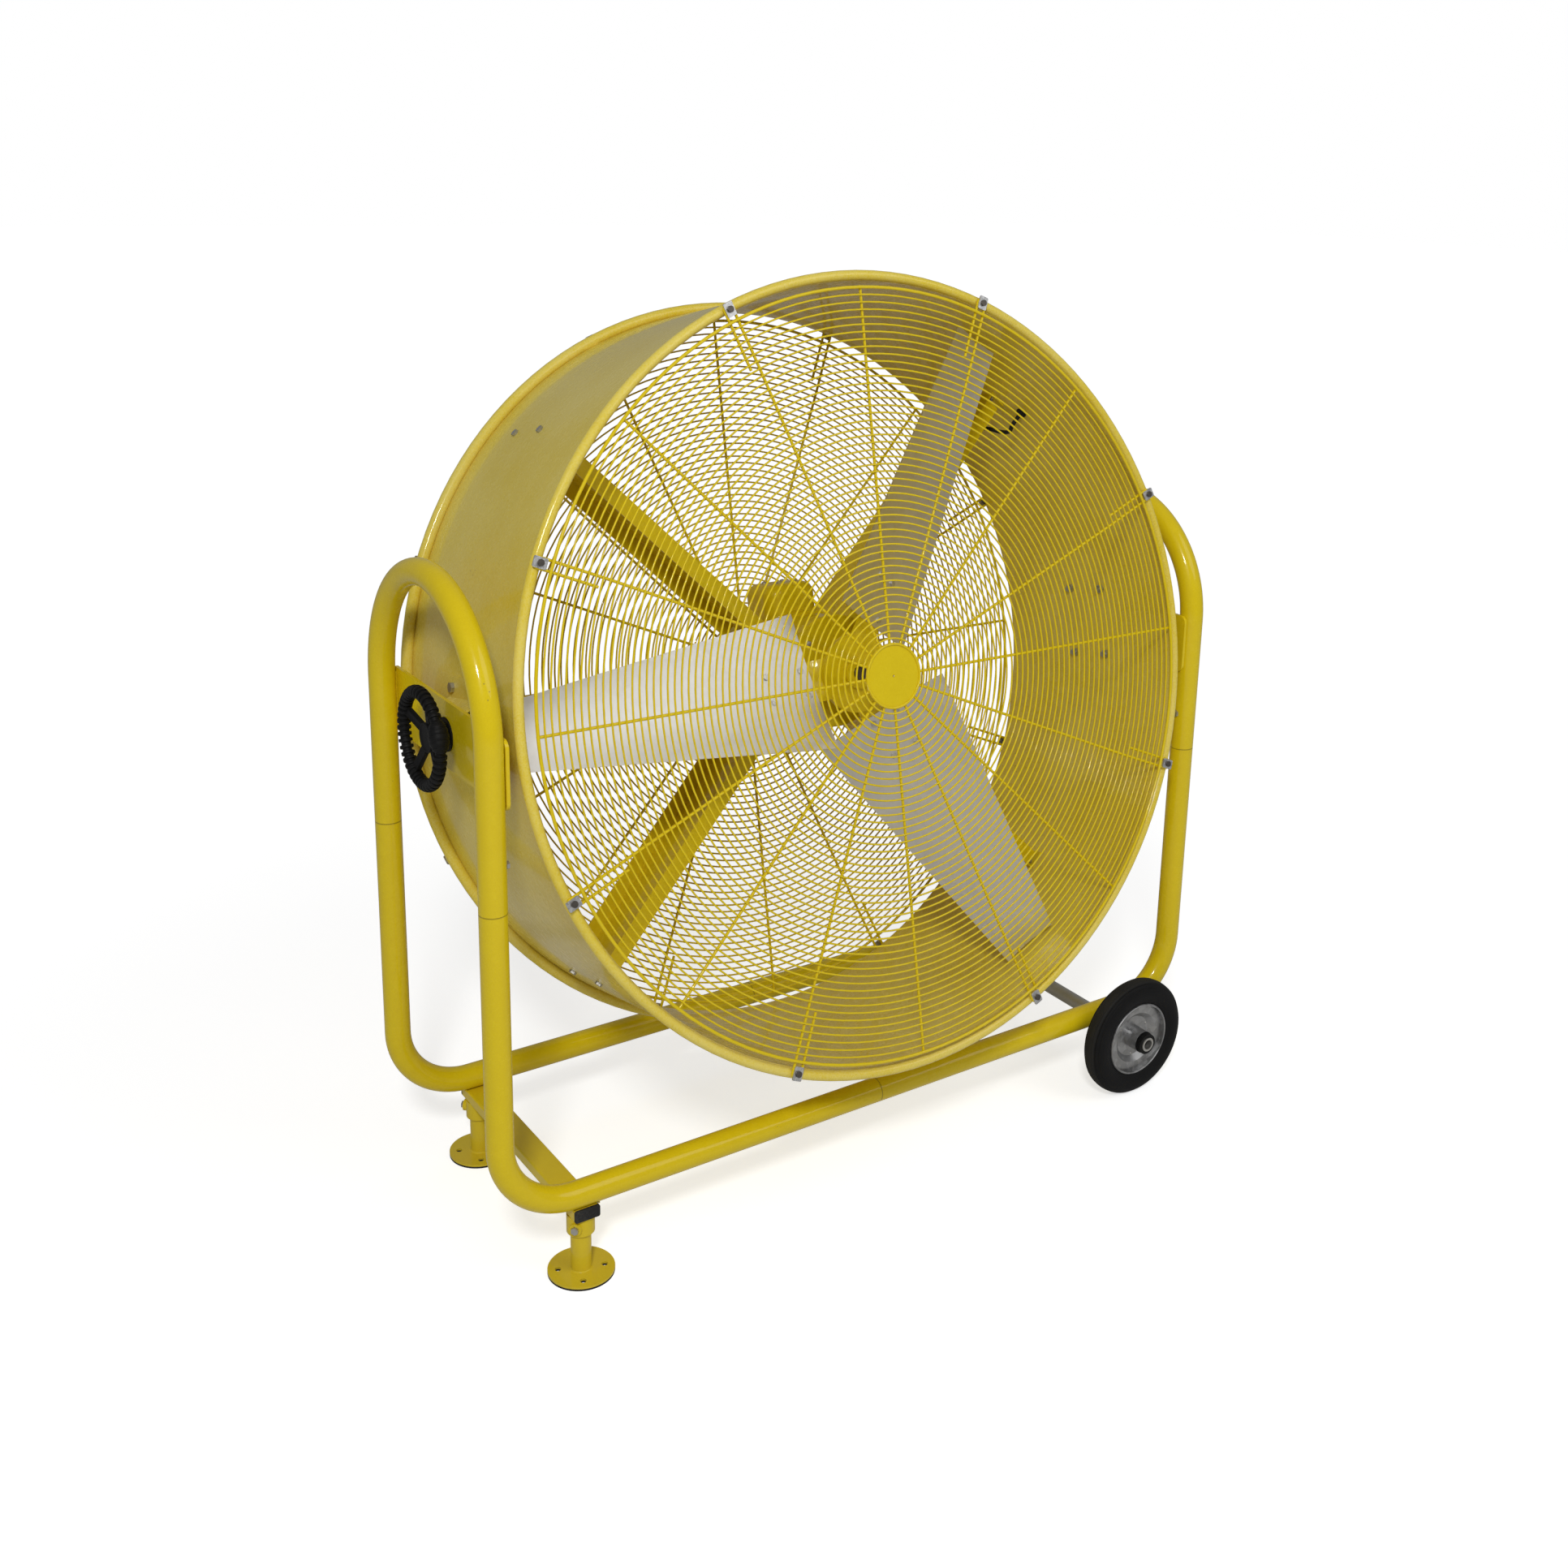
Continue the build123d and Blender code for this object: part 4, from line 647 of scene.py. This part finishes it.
# The heads' profiles: millimetres from the axis, and out from the face that they sit on.
hex_head = [(0, -2), (5.7, -2), (5.7, 2.6), (4.9, 3.6), (0, 3.6)]
pan_head = [(0, -1.5), (2.4, -1.5), (2.4, 0), (4.2, 0), (4.2, 0.7), (3.5, 1.8), (2.0, 2.5), (0, 2.7)]
rivet_head = [(0, -1), (2.2, -1), (2.2, 0.2), (1.7, 0.8), (0.8, 1.1), (0, 1.15)]
# Millimetres in the drum, from the pivot.
lid_top, lid_screw_x, lid_screw_z = 134, (-17, 17), (-103, -69)
rear_bell_face, rear_bolt_r = -140, 52
front_bell_face, front_bolt_r = 54, 66
disc_rivet_r = 33 * MM
lid_spots = [in_drum(x, lid_top, z) for x in lid_screw_x for z in lid_screw_z]
headed("lid_screws", lid_spots, raised, pan_head, 20)
quarters = [radians(45 + 90 * k) for k in range(4)]
rear_spots = [in_drum(rear_bolt_r * cos(a), rear_bolt_r * sin(a), rear_bell_face) for a in quarters]
headed("rear_bell_bolts", rear_spots, -ahead, hex_head, 6)
front_spots = [in_drum(front_bolt_r * cos(a), front_bolt_r * sin(a), front_bell_face) for a in quarters]
headed("front_bell_bolts", front_spots, ahead, hex_head, 6)
for side, facing in (("front", -1), ("rear", 1)):
    low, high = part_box(f"{side}_wheel_disc")
    web = (low + high) / 2 + Vector((0, facing * MM, 0))
    thirds = (0.5, 0.5 + tau / 3, 0.5 - tau / 3)
    spots = [web + Vector((cos(a), 0, sin(a))) * disc_rivet_r for a in thirds]
    out = Vector((0, facing, 0))
    name = f"{side}_disc_rivets"
    headed(name, spots, out, rivet_head, 14, f"{side}_wheel")


# ==== room, light and camera ======================================================================
def pale_floor():
    """A white floor: it catches the shadow near the object and is plain white farther out."""
    deselect()
    bpy.ops.mesh.primitive_plane_add(size=60, location=(0, 0, 0))
    floor = active("studio_floor")
    ground = Finish("studio_floor", Roughness=0.9, Emission_Strength=1.0)
    across_floor, along_floor = ground.axis("X"), ground.axis("Y")
    reach = (across_floor * across_floor + along_floor * along_floor).math("SQRT")
    away = (reach + 0.3 * ground.noise(1.5, 2.0)).rising(0.8, 2.0)
    seen = Field(ground, ground.node("LightPath").outputs["Is Camera Ray"])
    black, white = (0, 0, 0, 1), (1, 1, 1, 1)
    glow = ground.mix(away, (0.62, 0.62, 0.62, 1), white)
    glow = ground.mix(seen, black, glow)
    ground.paint(ground.mix(away * seen, (0.80, 0.80, 0.80, 1), black), glow=glow)
    wear(floor, ground.material)


def soft_light(name, place, aim, size, power):
    """A white round lamp, pointed at a place on the object."""
    lamp = bpy.data.lights.new(name, "AREA")
    lamp.shape = "DISK"
    lamp.size = size
    lamp.energy = power
    holder = bpy.data.objects.new(name, lamp)
    bpy.context.scene.collection.objects.link(holder)
    holder.matrix_world = Matrix.Translation(place) @ (
        (Vector(aim) - Vector(place)).to_track_quat("-Z", "Y").to_matrix().to_4x4()
    )


def white_surroundings(strength):
    """Soft white from all round, and plain white where the camera looks straight at it."""
    world = bpy.data.worlds.new("surroundings")
    world.use_nodes = True
    bpy.context.scene.world = world
    tree = world.node_tree
    tree.nodes.clear()
    path = tree.nodes.new("ShaderNodeLightPath")
    plain = tree.nodes.new("ShaderNodeBackground")
    plain.inputs["Strength"].default_value = strength
    white = tree.nodes.new("ShaderNodeBackground")
    white.inputs["Strength"].default_value = 1.0
    for shade in (plain, white):
        shade.inputs["Color"].default_value = (1, 1, 1, 1)
    choice = tree.nodes.new("ShaderNodeMixShader")
    output = tree.nodes.new("ShaderNodeOutputWorld")
    tree.links.new(path.outputs["Is Camera Ray"], choice.inputs[0])
    tree.links.new(plain.outputs[0], choice.inputs[1])
    tree.links.new(white.outputs[0], choice.inputs[2])
    tree.links.new(choice.outputs[0], output.inputs["Surface"])


def photo_camera():
    """A camera at the photograph's viewing angle."""
    yaw, pitch, roll = radians(35.27), radians(14.43), radians(1.46)
    ahead = Vector((sin(yaw) * cos(pitch), cos(yaw) * cos(pitch), -sin(pitch)))
    level = Vector((cos(yaw), -sin(yaw), 0))
    upright = level.cross(ahead)
    right = cos(roll) * level + sin(roll) * upright
    up = cos(roll) * upright - sin(roll) * level
    camera = bpy.data.cameras.new("camera")
    camera.sensor_width = 36
    camera.lens = 39.395
    camera.shift_x = -0.0399
    camera.shift_y = -0.1203
    camera.clip_end = 100
    holder = bpy.data.objects.new("camera", camera)
    bpy.context.scene.collection.objects.link(holder)
    turn = Matrix((right, up, -ahead)).transposed().to_4x4()
    holder.matrix_world = Matrix.Translation((-1.4305, -2.1136, 1.5400)) @ turn
    bpy.context.scene.camera = holder


pale_floor()
white_surroundings(0.26)
soft_light("key", (-2.4, -3.2, 3.6), (0, 0, 0.7), 0.7, 95)
soft_light("fill", (1.7, -2.9, 3.3), (-0.2, 0, 0.8), 2.8, 34)
photo_camera()
bpy.context.scene.view_settings.view_transform = "Standard"
